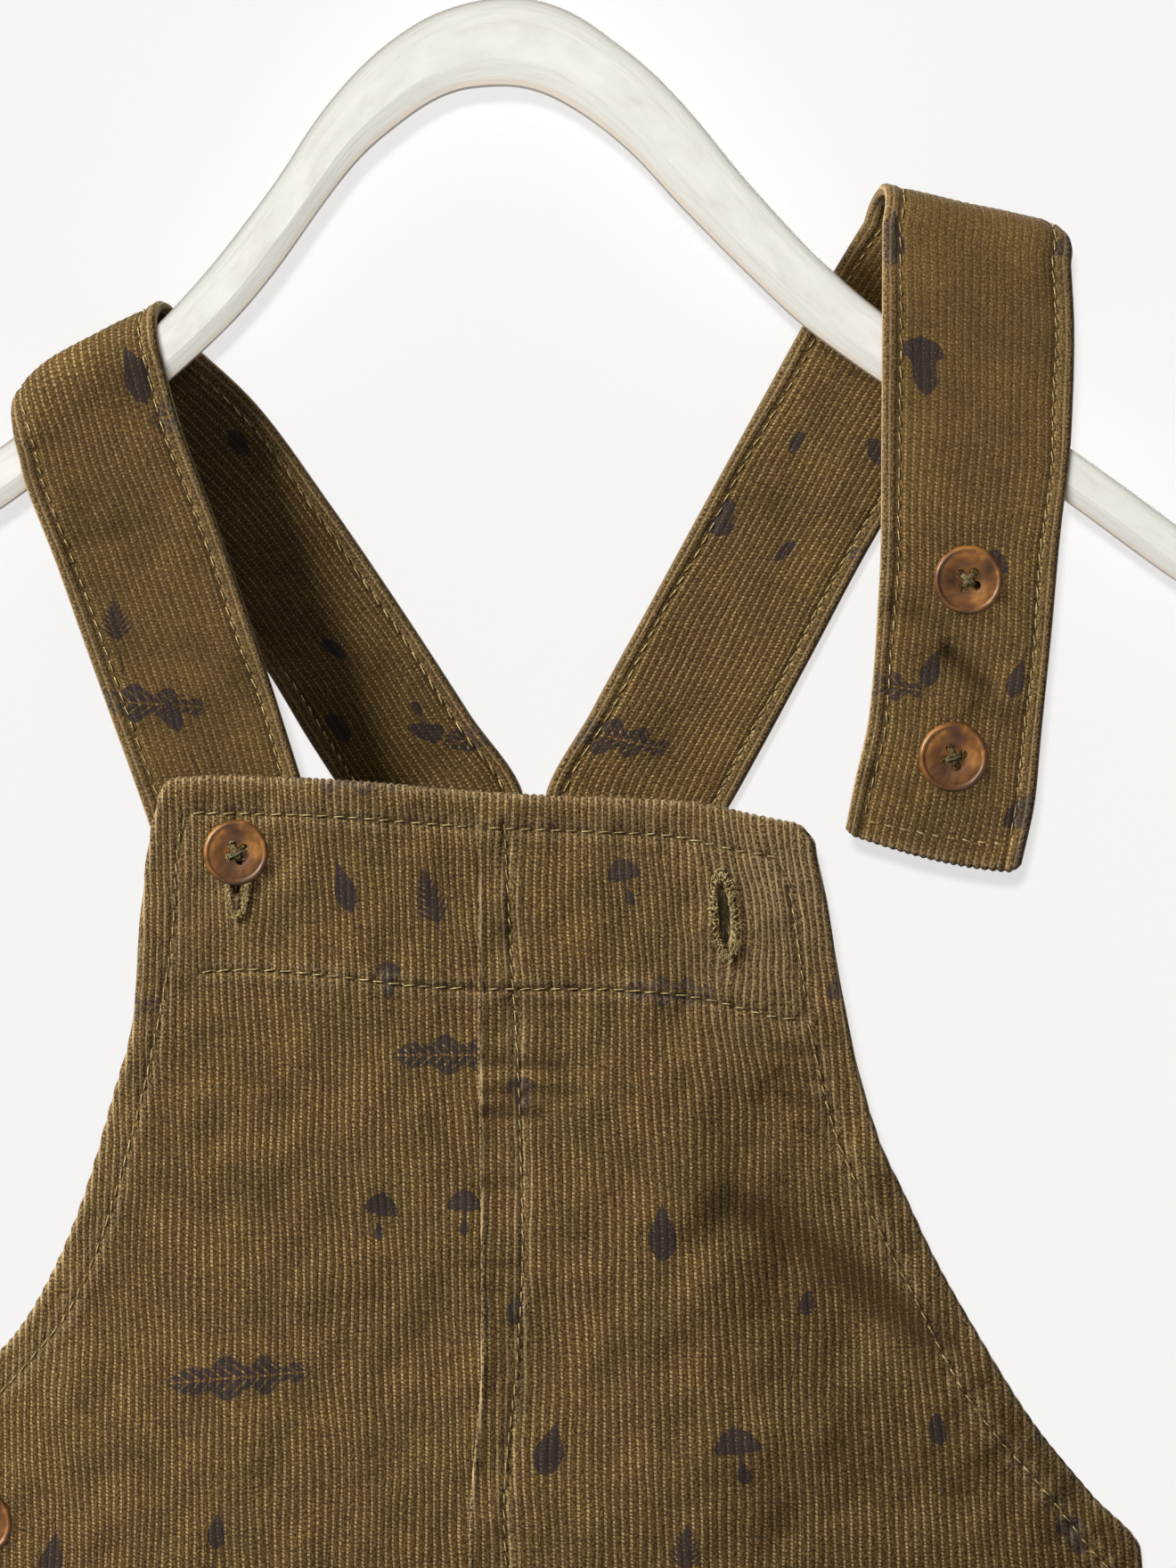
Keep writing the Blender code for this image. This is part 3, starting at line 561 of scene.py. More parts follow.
class Panel:
    """One panel: its outline, its depth, its ribs and the fine relief on its face."""

    def __init__(self, name):
        half, self.side = name.split("_")
        self.name = name
        self.row_steps = ROW_STEPS[half]
        self.front = half == "front"
        self.facing = -1.0 if self.front else 1.0
        self.seam_side = -1.0 if self.side == "left" else 1.0
        # The left half's edge goes under the right half's lap.
        self.laps = self.side == "right"
        self.corner_z = CORNER_RIGHT_Z if self.laps else CORNER_LEFT_Z
        outer, depth = OUTER[name], DEPTH[half]
        self.outer_x = through(outer["z"], outer["x"])
        self.centre_x = through(CENTRE[half]["z"], CENTRE[half][self.side])
        self.top = through(TOP[half]["x"], TOP[half]["z"])
        self.centre_y = through(depth["z"], depth["centre"])
        self.swell = through(depth["z"], depth["swell"])
        self.edge_y = through(EDGE[half]["rise"], EDGE[half]["y"])
        self.top_z = float(outer["z"].max())
        self.fold_rows, self.crease_rows = FOLDS[half], CREASES[half]
        self.hole = BUTTONHOLES.get(name)
        # Each stitch line with how deep it sits.
        self.lines = [(line, deep) for panel, deep, line in STITCH_LINES.values() if panel == name]
        self.lines += [(line, MADE_LINE_DEPTH) for line in self.made_lines()]
        self.cross_lines = [line for line, deep in self.lines if np.ptp(line, axis=0).argmax() == 0]

    def inner_x(self, z):
        return self.centre_x(z) + self.seam_side * SEAM / 2

    def lapped(self, z):
        """1 where one half laps over the other, above the crotch."""
        return smoothstep(CROTCH_Z + 14, CROTCH_Z + 34, z)

    def sewn_x(self, z):
        """The cut's inner edge, with the allowance of the lap."""
        return self.inner_x(z) + (-LAP_OVER if self.laps else LAP_UNDER) * self.lapped(z)

    def y(self, x, z):
        """The depth of the cloth's middle, from the seam line at u = 0 to the side at u = 1."""
        u = np.clip((x - self.inner_x(z)) / (self.outer_x(z) - self.inner_x(z)), 0.0, 1.0)
        away = self.centre_y(z) * (1 - u**3) + self.edge_y(z - self.corner_z) * u**3
        away += self.swell(z) * (1 - abs(2 * u - 1) ** 3)
        away += np.clip(12 * u * (1 - u), 0.0, 1.0) * folds(self.fold_rows, x, z)
        if not self.laps:
            away = away - 1.8 * smoothstep(0.25, -0.25, self.inner_x(z) - x) * self.lapped(z)
        return self.facing * away

    def made_lines(self):
        """Stitch lines that follow the cut: the hem, and on the back its armholes and top."""
        hem = HEM_Z + HEM_STITCH_RISE
        lines = [[(self.inner_x(hem), hem), (self.outer_x(hem), hem)]]
        if self.front:
            return lines
        inset = -self.seam_side * ARMHOLE_STITCH_INSET
        heights = np.linspace(self.top_z - 1.0, self.corner_z + 6.0, 14)
        lines.append([(self.outer_x(z) + inset, z) for z in heights])
        for z in (self.top_z - 7.0, self.top_z - 38.0):
            lines.append([(self.inner_x(z), z), (self.outer_x(z) + inset, z)])
        if self.laps:
            heights = np.linspace(self.top_z - 1.0, CROTCH_Z + 8.0, 14)
            lines.append([(self.inner_x(z) + LAP_BAND, z) for z in heights])
        return lines

    def wale(self, x, z):
        """Which rib a point is on. The ribs fan out below the bib, and bow round a buttonhole."""
        stir = 1.0
        if self.name == "front_right":
            stir = 1 + 1.1 * np.exp(-(((x - 56.0) / 26.0) ** 2) - ((z + 280.0) / 42.0) ** 2)
        x = x + stir * (0.18 * wander(x, 0.6 * z, 4.0, 3) + 0.5 * wander(x, z, 14.0, 4))
        if self.hole:
            dx, dz = x - self.hole["x"], z - self.hole["ring_z"]
            x = x - 0.9 * np.tanh(dx / 1.6) * np.exp(-((dx / 8.0) ** 2) - (dz / 11.0) ** 2)
        pitch, hinge, fan, first_rib = RIBS[self.name]
        drop = 150.0 * (1 - np.exp(-np.clip(self.top_z - z, 0.0, None) / 150.0))
        spread = np.where(x > hinge, 1 + fan * drop, 1.0)
        return (hinge + (x - hinge) / spread) / pitch + first_rib

    def edge_distance(self, x, z):
        """About how far a point is from the nearest edge of the cut."""
        lean = self.outer_x(z + 0.5) - self.outer_x(z - 0.5)
        side = -self.seam_side * (x - self.outer_x(z)) / np.sqrt(1 + lean**2)
        seam = 4.0 * self.seam_side * (x - self.sewn_x(z))
        found = np.minimum(np.minimum(side, seam), np.minimum(self.top(x) - z, z - HEM_Z))
        return np.minimum(found, self.slit_distance(x, z)) if self.hole else found

    def slit_distance(self, x, z):
        across, along = rotated(x - self.hole["x"], z - self.hole["z"], -self.hole["lean"])
        reach = np.hypot(across / SLIT_HALF_WIDTH, along / SLIT_HALF_LENGTH)
        return np.where(reach > 1, (reach - 1) * SLIT_HALF_WIDTH, reach - 1)

    def band(self, x, z):
        """How much the doubled bands at the bib's top, the armholes and the lap stand out."""
        rise = 0.0
        if self.front:
            facing_z = np.interp(x, [-80, 20, 75], [-284.5, -286.4, -293.6])
            rise = 0.35 * smoothstep(0.0, 1.5, z - facing_z)
        # The top's hem is turned over and puffs up between its stitches and its edge.
        rise = rise + 0.7 * bell((self.top(x) - z - 3.6) / 2.7)
        if self.laps:
            edge = x - self.sewn_x(z)
            held = smoothstep(CROTCH_Z + 4, CROTCH_Z + 24, z) * smoothstep(-258.0, -268.0, z)
            inside = 1 - smoothstep(LAP_BAND - 1.6, LAP_BAND - 0.2, edge)
            rise = rise + held * (0.22 * bell((edge - 0.8) / 0.6) + 0.25 * inside)
        return rise

    def sewing(self, x, z):
        """The channel of each stitch line, and the puckers beside it."""
        total = np.zeros(np.shape(x))
        for number, (line, deep) in enumerate(self.lines):
            away, along = near(line, x, z)
            ripple = np.sin(along * 1.05 + 2.2 * wander(along, 0.0 * along, 9.0, 40 + number))
            strength = 0.6 + 0.4 * wander(along, 0.0 * along, 16.0, 60 + number)
            total += 0.24 * strength * ripple * np.exp(-away / 3.4)
            total += deep * (0.2 * bell((away - 2.2) / 1.5) - 0.46 * bell(away / CHANNEL))
        return total

    def face(self, x, z):
        """The height of the cloth's face over its middle."""
        edge = self.edge_distance(x, z)
        rise = CLOTH / 2 + self.band(x, z) + self.sewing(x, z) + folds(self.crease_rows, x, z)
        rise = rise + 0.26 * wander(x, z, 7.0, 5) + 0.6 * wander(x, z, 24.0, 6)
        rise = rise + 0.1 * bell((edge - 2.2) / 1.6) + RIB_HEIGHT * (crest(self.wale(x, z)) - 0.5)
        return np.maximum(rise, 0.15) * rounded(edge)

    def scallop(self, x, z):
        """How far the ribs stand out past the cut: most along the top, least down the right side."""
        top = smoothstep(6.0, 3.0, self.top(x) - z)
        side = 0.15 if self.laps else 0.3
        return (side + (SCALLOP - side) * top) * crest(self.wale(x, z))

    def seam_shade(self, x, z):
        """How much painted shade darkens the channel under the stitches at each point."""
        shades = [deep * bell(near(line, x, z)[0] / 0.42) for line, deep in self.lines]
        return np.max(shades, axis=0)

    def sewn_edge(self, x, z):
        """Whether a point is where the front and the back are sewn together."""
        side = self.seam_side * (self.outer_x(z) - x)
        inner = self.seam_side * (x - self.inner_x(z))
        return ((side < 1.3) & (z < self.corner_z - 0.5)) | ((inner < 1.3) & (z < CROTCH_Z - 1.0))

    def wear_and_highlight(self, x, z):
        """Paler pile: worn at edges and by stitches, pale patches, and a painted highlight along the
        lap.
        """
        worn = bell(self.edge_distance(x, z) / 1.5)
        # Along the lap's edge the pale line is a painted highlight of its raised, lit edge.
        if self.laps:
            lap = 1.7 * bell((x - self.sewn_x(z) - 0.5) / 0.6)
            worn = np.maximum(worn, lap * smoothstep(-256.0, -268.0, z))
        for patch_x, patch_z, radius, strength in PALE_PATCHES[self.name]:
            away = np.hypot(x - patch_x, z - patch_z)
            worn = np.maximum(worn, strength * bell(away / radius))
        for line, _ in self.lines:
            worn = np.maximum(worn, 0.45 * bell((near(line, x, z)[0] - 1.5) / 1.2))
        return worn

    def sewn_rows(self, ribs):
        """Points of the ribs close to each stitch line that runs across them."""
        found = []
        for line in self.cross_lines:
            points = np.array(line)
            x = np.linspace(points[0, 0], points[-1, 0], 160)
            z = np.interp(x, *points[np.argsort(points[:, 0])].T)
            found += [edge_run(self, ribs, x, z + away) for away in SEAM_ROWS]
        return np.concatenate(found)

    def beside_stitches(self, x, z):
        """Whether a point is close to a stitch line that runs across the ribs."""
        away = [near(line, x, z)[0] for line in self.cross_lines]
        return np.min(away, axis=0) < CLEAR_OF_SEAM

    def lift(self, x, z, out):
        """Places that far out from the middle of the cloth."""
        return np.column_stack([x, self.y(x, z) + self.facing * out, z])


def mesh_object(name, points, faces, materials, uv=None, face_materials=None, marks=None):
    """A smooth mesh of points in millimetres, with its map and its named marks if given."""
    mesh = bpy.data.meshes.new(name)
    mesh.from_pydata((points * MM).tolist(), [], faces)
    for material in materials:
        mesh.materials.append(material)
    if uv is not None:
        corners = np.empty(len(mesh.loops), np.int32)
        mesh.loops.foreach_get("vertex_index", corners)
        layer = mesh.uv_layers.new(name="wale")
        layer.data.foreach_set("uv", uv.astype(np.float32)[corners].ravel())
    for mark, values in (marks or {}).items():
        layer = mesh.attributes.new(mark, "FLOAT", "POINT")
        layer.data.foreach_set("value", values.astype(np.float32))
    if face_materials is not None:
        mesh.polygons.foreach_set("material_index", face_materials.astype(np.int32))
    mesh.shade_smooth()
    obj = bpy.data.objects.new(name, mesh)
    bpy.context.scene.collection.objects.link(obj)
    return obj


def weld(mesh):
    """Points at one place become one, and the faces face outwards."""
    work = bmesh.new()
    work.from_mesh(mesh)
    bmesh.ops.remove_doubles(work, verts=work.verts, dist=2e-6)
    bmesh.ops.recalc_face_normals(work, faces=work.faces)
    work.to_mesh(mesh)
    work.free()


def ring_faces(rows, count, capped=True):
    """Quads between rings of points that all have the same count, and a face on each end ring."""
    i, k = np.meshgrid(np.arange(rows - 1) * count, np.arange(count), indexing="ij")
    j = (k + 1) % count
    faces = np.stack([i + k, i + j, i + count + j, i + count + k], axis=-1).reshape(-1, 4).tolist()
    if capped:
        faces += [list(range(count))[::-1], list(range((rows - 1) * count, rows * count))]
    return faces


def rows_of(panel):
    """Row heights from the top down: close together where the picture looks, wider below."""
    fine, coarse = panel.row_steps
    heights = [float(panel.top(0.0)) + 6.0]
    while heights[-1] > HEM_Z:
        share = smoothstep(FINE_ABOVE_Z, COARSE_BELOW_Z, heights[-1])
        heights.append(heights[-1] - (fine + (coarse - fine) * float(share)))
    return np.array(heights[:-1])


def crossings(ribs, first, last):
    """The rib columns between two rib numbers, which may run either way."""
    return ribs[(ribs > min(first, last)) & (ribs < max(first, last))]


def lattice(panel, ribs, rows):
    """Where the rib columns cross the rows inside the cut."""
    found = []
    for z in rows:
        x = np.sort(np.linspace(panel.sewn_x(z), panel.outer_x(z), 700))
        number = panel.wale(x, np.full_like(x, z))
        inside = crossings(ribs, number[0], number[-1])
        found.append(np.column_stack([np.interp(inside, number, x), np.full(len(inside), z)]))
    return np.concatenate(found)


def edge_run(panel, ribs, x, z):
    """Points of an edge: where the rib columns meet it, and at even steps along it."""
    number = panel.wale(x, z)
    along = run_along(np.column_stack([x, z]))
    stops = [np.arange(0.0, along[-1], EDGE_STEP)]
    for i in range(len(x) - 1):
        met = crossings(ribs, number[i], number[i + 1])
        share = (met - number[i]) / (number[i + 1] - number[i])
        stops.append(along[i] + share * (along[i + 1] - along[i]))
    stops = np.sort(np.concatenate(stops))
    stops = stops[np.concatenate([[True], np.diff(stops) > EDGE_GAP])]
    return np.column_stack([np.interp(stops, along, x), np.interp(stops, along, z)])


def outline(panel, ribs):
    """The cut's edge as one loop: along the top, down the outside, along the hem, and back up."""
    top_z = panel.top_z
    across = np.linspace(panel.sewn_x(top_z), panel.outer_x(top_z), 240)
    down = np.linspace(top_z, HEM_Z, 900)
    hem = np.linspace(panel.outer_x(HEM_Z), panel.sewn_x(HEM_Z), 400)
    up = np.linspace(HEM_Z, float(panel.top(panel.sewn_x(top_z))), 900)
    loop = np.concatenate([
        edge_run(panel, ribs, across, panel.top(across)),
        edge_run(panel, ribs, panel.outer_x(down), down),
        edge_run(panel, ribs, hem, np.full_like(hem, HEM_Z)),
        edge_run(panel, ribs, panel.sewn_x(up), up),
    ])
    loop = loop[np.hypot(*(loop - np.roll(loop, 1, axis=0)).T) > 0.2]
    # The outer top corner is worn round.
    corner = np.hypot(*(loop - (panel.outer_x(top_z), top_z)).T) < CORNER_ROUND
    for _ in range(16):
        middle = (np.roll(loop, 1, axis=0) + np.roll(loop, -1, axis=0)) / 2
        loop = np.where(corner[:, None], middle, loop)
    return loop


def inward(loop):
    """The unit direction into the loop at each of its points."""
    following = np.roll(loop, -1, axis=0)
    along = unit(following - np.roll(loop, 1, axis=0))
    area = (loop[:, 0] * following[:, 1] - following[:, 0] * loop[:, 1]).sum()
    return np.column_stack([-along[:, 1], along[:, 0]]) * np.sign(area)


def slit_loop(hole):
    """The edge of a buttonhole's slit."""
    angles = np.linspace(0, 2 * math.pi, 33)[:-1]
    across, along = SLIT_HALF_WIDTH * np.cos(angles), SLIT_HALF_LENGTH * np.sin(angles)
    return np.column_stack(rotated(across, along, hole["lean"])) + (hole["x"], hole["z"])


def inside_loop(loop, points):
    """Whether each point is inside the loop: a line to the right of it meets the loop oddly often."""
    x, z = points.T
    odd = np.zeros(len(points), bool)
    for (x1, z1), (x2, z2) in zip(loop, np.roll(loop, -1, axis=0)):
        if z1 != z2:
            odd ^= ((z1 > z) != (z2 > z)) & (x < x1 + (z - z1) * (x2 - x1) / (z2 - z1))
    return odd


def fill(points, edge_count, panel, rows):
    """Triangles between the points. The first of them are the cut's edge, in order."""
    across = panel.wale(*points.T) * POINTS_PER_RIB
    down = np.interp(-points[:, 1], -rows, np.arange(len(rows)))
    down += 0.2 * np.maximum(0.0, rows[-1] - points[:, 1])
    flat = [Vector(p) for p in zip(across.tolist(), down.tolist())]
    made = delaunay_2d_cdt(flat, [], [list(range(edge_count))], 1, 1e-7, True)
    source = np.array([ids[0] if ids else -1 for ids in made[3]])
    faces = source[np.array(made[2])]
    faces = faces[(faces >= 0).all(axis=1)]
    middle = points[faces].mean(axis=1)
    rim = (faces < edge_count).all(axis=1)
    kept = ~rim
    kept[rim] = inside_loop(points[:edge_count], middle[rim])
    if panel.hole:
        kept &= panel.slit_distance(*middle.T) > 0
    return faces[kept]


def facing_way(points, faces, way):
    """The triangles turned so that they face the given way along Y."""
    a, b, c = (points[faces[:, k]] for k in range(3))
    normals = np.cross(b - a, c - a)
    flip = normals[:, 1] * way < 0
    faces[flip] = faces[flip][:, ::-1]
    return faces[np.linalg.norm(normals, axis=1) > 1e-9]


def dress_panel(panel, materials):
    """The panel as a closed shell: a ribbed face and a plain inside that meet at the edges."""
    def clear(points, distance):
        return points[panel.edge_distance(*points.T) > distance]

    rows = rows_of(panel)
    first, last = panel.wale(np.array([-170.0, 170.0]), np.array([HEM_Z, HEM_Z]))
    ribs = np.arange(math.floor(first), math.ceil(last), 1 / POINTS_PER_RIB)
    loop = outline(panel, ribs)
    into = inward(loop)
    edge = loop - panel.scallop(*loop.T)[:, None] * into
    rims = [loop + into * inset for inset in RIMS]
    fixed = edge
    if panel.hole:
        slit = slit_loop(panel.hole)
        rims += [slit + unit(slit - slit.mean(axis=0)) * inset for inset in SLIT_RIMS]
        fixed = np.concatenate([edge, slit])
    rim = clear(np.concatenate(rims), 0.2)

    ribbed = lattice(panel, ribs, rows)
    ribbed = ribbed[~panel.beside_stitches(*ribbed.T)]
    ribbed = clear(np.concatenate([ribbed, panel.sewn_rows(ribs)]), CLEAR_OF_EDGE)
    plain = clear(lattice(panel, ribs[:: 4 * POINTS_PER_RIB], rows[::5]), 4.0)
    plain = np.concatenate([clear(loop[::6] + into[::6] * 2.6, 2.0), plain])
    face_flat = np.concatenate([fixed, rim, ribbed])
    back_flat = np.concatenate([fixed, rim[::2], plain])

    height = panel.face(*face_flat.T)
    depth = -0.5 * CLOTH * rounded(panel.edge_distance(*back_flat.T))
    # Where front and back are sewn together the inside reaches just past the plane between them.
    sewn_edge = panel.sewn_edge(*back_flat.T)
    depth = np.where(sewn_edge, -abs(panel.y(*back_flat.T)) - 0.05, depth)
    # The two sides share the points of the edges.
    shared = len(fixed)
    height[:shared] = 0.0
    depth[:shared] = 0.0
    face_places = panel.lift(*face_flat.T, height)
    back_places = panel.lift(*back_flat.T, depth)
    face_faces = facing_way(face_places, fill(face_flat, len(edge), panel, rows), panel.facing)
    back_faces = facing_way(back_places, fill(back_flat, len(edge), panel, rows), -panel.facing)
    back_faces[back_faces >= shared] += len(face_places) - shared
    x, z = np.concatenate([face_flat, back_flat[shared:]]).T
    return mesh_object(
        panel.name + "_cloth", np.concatenate([face_places, back_places[shared:]]),
        np.concatenate([face_faces, back_faces]).tolist(), materials,
        uv=np.column_stack([panel.wale(x, z), z]),
        face_materials=np.repeat([0, 1], [len(face_faces), len(back_faces)]),
        marks={
            "wear_and_highlight": panel.wear_and_highlight(x, z), "sewn": panel.seam_shade(x, z),
            "crease_shade": crease_shade(panel.crease_rows, x, z),
        },
    )


def cut_size(panel):
    """The flat cut of a panel, in metres: width, length and area."""
    heights = np.linspace(panel.top_z, HEM_Z, 400)
    widths = abs(panel.outer_x(heights) - panel.sewn_x(heights)) * MM
    length = (panel.top_z - HEM_Z) * MM
    return float(widths.max()), length, float(widths.mean()) * length


def edge_rows(rows):
    """A strap table's rows as pairs of edge points, left and right."""
    edges = [[rows["x" + side], rows["y"], rows["z" + side]] for side in "lr"]
    return np.array(edges).transpose(2, 0, 1)


def turn(rows):
    """The strap's rows over the top: half an ellipse through the first, top and last rows."""
    start, top, end = edge_rows(rows)
    middle = (start + end) / 2
    angles = np.linspace(0, math.pi, TURN_STEPS + 1)[:, None, None]
    return middle + (start - middle) * np.cos(angles) + (top - middle) * np.sin(angles)


def smooth_run(rows):
    """A run's rows, read at even steps from a smooth curve through the table's."""
    points = np.array(rows)
    along = run_along(points.mean(axis=1))
    places = np.linspace(0, along[-1], max(2, round(along[-1] / STRAP_STEP)) + 1)
    columns = [through(along, column)(places) for column in points.reshape(len(points), -1).T]
    return np.stack(columns, axis=-1).reshape(-1, 2, 3)


class Strap:
    """One strap: its rows from the back's top to its free end, and the relief on its two faces."""

    def __init__(self, name):
        self.name = name
        spec = STRAPS[name]
        self.first_rib, self.puff, self.sink, self.fade = (
            spec[key] for key in ("first_rib", "puff", "sink", "fade")
        )
        top = turn(spec["over"])
        up = smooth_run([*edge_rows(spec["back"]), top[0]])
        down = smooth_run([top[-1], *edge_rows(spec["front"])])
        rows = np.concatenate([up[:-1], top, down[1:]])
        along = run_along(rows.mean(axis=1))
        self.length = float(along[-1])
        self.top_s = float(along[len(up) - 1 + TURN_STEPS // 2])
        self.reads = [through(along, column) for column in rows.reshape(len(rows), -1).T]
        self.width = float(np.linalg.norm(rows[:, 1] - rows[:, 0], axis=1).mean())
        self.ribs = round(self.width / STRAP_PITCH)

    def edges(self, s):
        """The left and right edge at each place along the strap, and straight on past its end."""
        both = np.stack([read(s) for read in self.reads], axis=-1)
        last = np.stack([read(self.length) - read(self.length - 4.0) for read in self.reads]) / 4.0
        both = both + np.maximum(s - self.length, 0.0)[..., None] * last
        return both[..., :3], both[..., 3:]

    def normal(self, s):
        """The outward direction, which is towards -Y on the front run."""
        left, right = self.edges(s)
        along = sum(self.edges(s + 1.0)) - sum(self.edges(s - 1.0))
        return unit(np.cross(along, right - left))

    def sewing(self, s, u):
        """The channels of the stitches along the edges and across the end, and the puckers."""
        edge, end = np.minimum(u, 1 - u) * self.width, self.length - s
        total = 0.12 * bell((edge - 1.8) / 1.2) - 0.45 * bell((edge - STRAP_INSET) / CHANNEL)
        total = total - 0.45 * bell((end - STRAP_END_INSET) / CHANNEL) * (edge > STRAP_INSET)
        ripple = np.sin(s * 1.1 + 2.0 * wander(s, u * 30, 8.0, 17))
        return total + 0.14 * ripple * np.exp(-abs(edge - STRAP_INSET) / 2.6)

    def point(self, s, u, face, out=0.0):
        """A place on the strap's face: face is 1 for the outside and -1 for the inside."""
        edge, end = np.minimum(u, 1 - u) * self.width, np.minimum(s, self.length - s)
        pile = crest(self.first_rib + u * self.ribs) - 0.5
        # The free end bows out a little, with a scallop at each rib and rounded corners.
        bow = 6.4 * u * (1 - u) - 1.2 * (1 - smoothstep(0.0, 2.2, edge))
        shift = bow * (1 - smoothstep(0.0, 16.0, end))
        shift = shift + SCALLOP * pile * (1 - smoothstep(0.0, 2.5, end))
        left, right = self.edges(s + np.where(s > self.length / 2, shift, 0.0))
        drift = (0.08 * wander(u * 40, s, 4.5, 27) + 0.3 * wander(u * 40, s, 13.0, 28)) / self.width
        across = u + drift * np.clip(8 * u * (1 - u), 0.0, 1.0)
        base = left + (right - left) * across[..., None]
        x, y, z = np.moveaxis(base, -1, 0)
        rise = STRAP_CLOTH / 2 + self.sewing(s, u) + STRAP_RIB_HEIGHT * pile
        rise = (rise + 0.16 * wander(x, z, 7.0, 21)) * rounded(edge) * rounded(end)
        offset = face * (rise + out) + folds(STRAP_CREASES, x, z) * (y < -5.0)
        past = s - self.top_s
        offset = offset + self.puff * bell(past / 9.0) * 6.75 * u * (1 - u) ** 2
        offset = offset + 0.4 * wander(x, z, 20.0, 23)
        corner = bell(past / 7.0) * np.clip((u - 0.8) / 0.2, 0.0, 1.0) ** 3
        base = base - self.sink * corner[..., None] * [0.35, 0.0, 1.0]
        return base + self.normal(s) * offset[..., None]

    def places(self):
        """Where the rows of points lie along the strap, closest together at its ends."""
        rows = np.linspace(1.4, self.length - 1.4, round(self.length / STRAP_ROW_STEP))
        ends = np.array([0.0, 0.35, 0.8])
        return np.concatenate([ends, rows, self.length - ends[::-1]])


def dress_strap(strap, materials):
    """The strap as a closed shell of doubled corduroy."""
    s = strap.places()
    columns = strap.ribs * POINTS_PER_RIB
    u = np.linspace(0, 1, columns + 1)
    grid = np.meshgrid(s, u, indexing="ij")
    inside = strap.point(*grid, -1.0)[:, -2:0:-1]
    points = np.concatenate([strap.point(*grid, 1.0), inside], axis=1).reshape(-1, 3)
    around = np.concatenate([u, u[-2:0:-1]])
    count = len(around)
    # The ribs inside are other ribs of the cloth.
    rib = strap.first_rib + around * strap.ribs + 60 * (np.arange(count) > columns)
    edge = np.minimum(around, 1 - around) * strap.width
    wear_and_highlight = bell(edge / 1.3) + 0.35 * bell((edge - 2.4) / 1.2)
    wear_and_highlight = np.maximum(wear_and_highlight, bell((strap.length - s[:, None]) / 1.5))
    x, y, z = points.T
    obj = mesh_object(
        strap.name + "_cloth", points, ring_faces(len(s), count, capped=False), materials,
        uv=np.stack(np.broadcast_arrays(rib, -s[:, None]), axis=-1).reshape(-1, 2),
        marks={
            "wear_and_highlight": wear_and_highlight.ravel(), "crease_shade": crease_shade(STRAP_CREASES, x, z) * (y < -5.0),
            "faded": np.repeat(np.interp(s - strap.top_s, *strap.fade.values()), count),
        },
    )
    weld(obj.data)
    return obj


def tube(path, radius, sides, shares=None, beside=(0.0, 1.0, 0.013)):
    """The points and faces of a closed tube along the path. The shares say how much of the radius
    it has at each point of the path; without them it is drawn in at its ends only."""
    if shares is None:
        shares = np.ones(len(path))
        shares[[0, -1]] = 0.45
    along = unit(np.gradient(path, axis=0))
    side = unit(np.cross(along, beside))
    up = np.cross(side, along)
    angles = np.linspace(0, 2 * math.pi, sides + 1)[:-1, None]
    ring = np.cos(angles) * side[:, None] + np.sin(angles) * up[:, None]
    points = path[:, None] + radius * shares[:, None, None] * ring
    return points.reshape(-1, 3), ring_faces(len(path), sides)


class Threads:
    """Gathers many short threads into one mesh."""

    def __init__(self):
        self.points, self.faces, self.count = [], [], 0

    def add(self, path, radius=THREAD_RADIUS, sides=5):
        points, faces = tube(path, radius, sides)
        self.points.append(points)
        self.faces += [[i + self.count for i in face] for face in faces]
        self.count += len(points)

    def build(self, name, material):
        return mesh_object(name, np.concatenate(self.points), self.faces, [material])


def sew(threads, place, length, rng):
    """Stitches along a line. place(along, aside, out) gives the points of the cloth's face."""
    share = np.array([0.0, 0.22, 0.5, 0.78, 1.0])
    rise = np.array([-0.15, 0.2, 0.3, 0.2, -0.15])
    for start in np.arange(0.8, length - STITCH_LENGTH, STITCH_STEP):
        start = start + rng.uniform(-0.2, 0.2)
        reach = STITCH_LENGTH * rng.uniform(0.88, 1.06)
        lean = 0.12 * rng.uniform(0.3, 1.6) * reach
        threads.add(place(start + share * reach, (share - 0.5) * lean, rise))


def sew_line(threads, panel, line, rng):
    """Stitches along a line of points on a panel."""
    points = np.array(line)
    along = run_along(points)
    at_x, at_z = through(along, points[:, 0]), through(along, points[:, 1])

    def place(s, aside, out):
        dx, dz = at_x(s + 0.5) - at_x(s - 0.5), at_z(s + 0.5) - at_z(s - 0.5)
        size = np.maximum(np.hypot(dx, dz), 1e-6)
        x, z = at_x(s) - dz / size * aside, at_z(s) + dx / size * aside
        ground = panel.lift(x, z, panel.face(x, z))
        # A stitch follows the cloth under it only half way.
        level = ground[:, 1].min() if panel.front else ground[:, 1].max()
        ground[:, 1] = 0.5 * (ground[:, 1] + level) + panel.facing * out
        return ground

    sew(threads, place, along[-1], rng)


def sew_strap(threads, strap, rng):
    """Edge stitching on both faces of a strap, and across its free end."""
    inset = STRAP_INSET / strap.width
    end = strap.length - STRAP_END_INSET
    for face in (1.0, -1.0):
        for u in (inset, 1 - inset):
            def down(s, aside, out, u=u, face=face):
                return strap.point(s, u + aside / strap.width, face, out + 0.1)

            sew(threads, down, end, rng)

        def across(t, aside, out, face=face):
            return strap.point(end + aside, inset + t / strap.width, face, out + 0.1)

        sew(threads, across, strap.width * (1 - 2 * inset), rng)


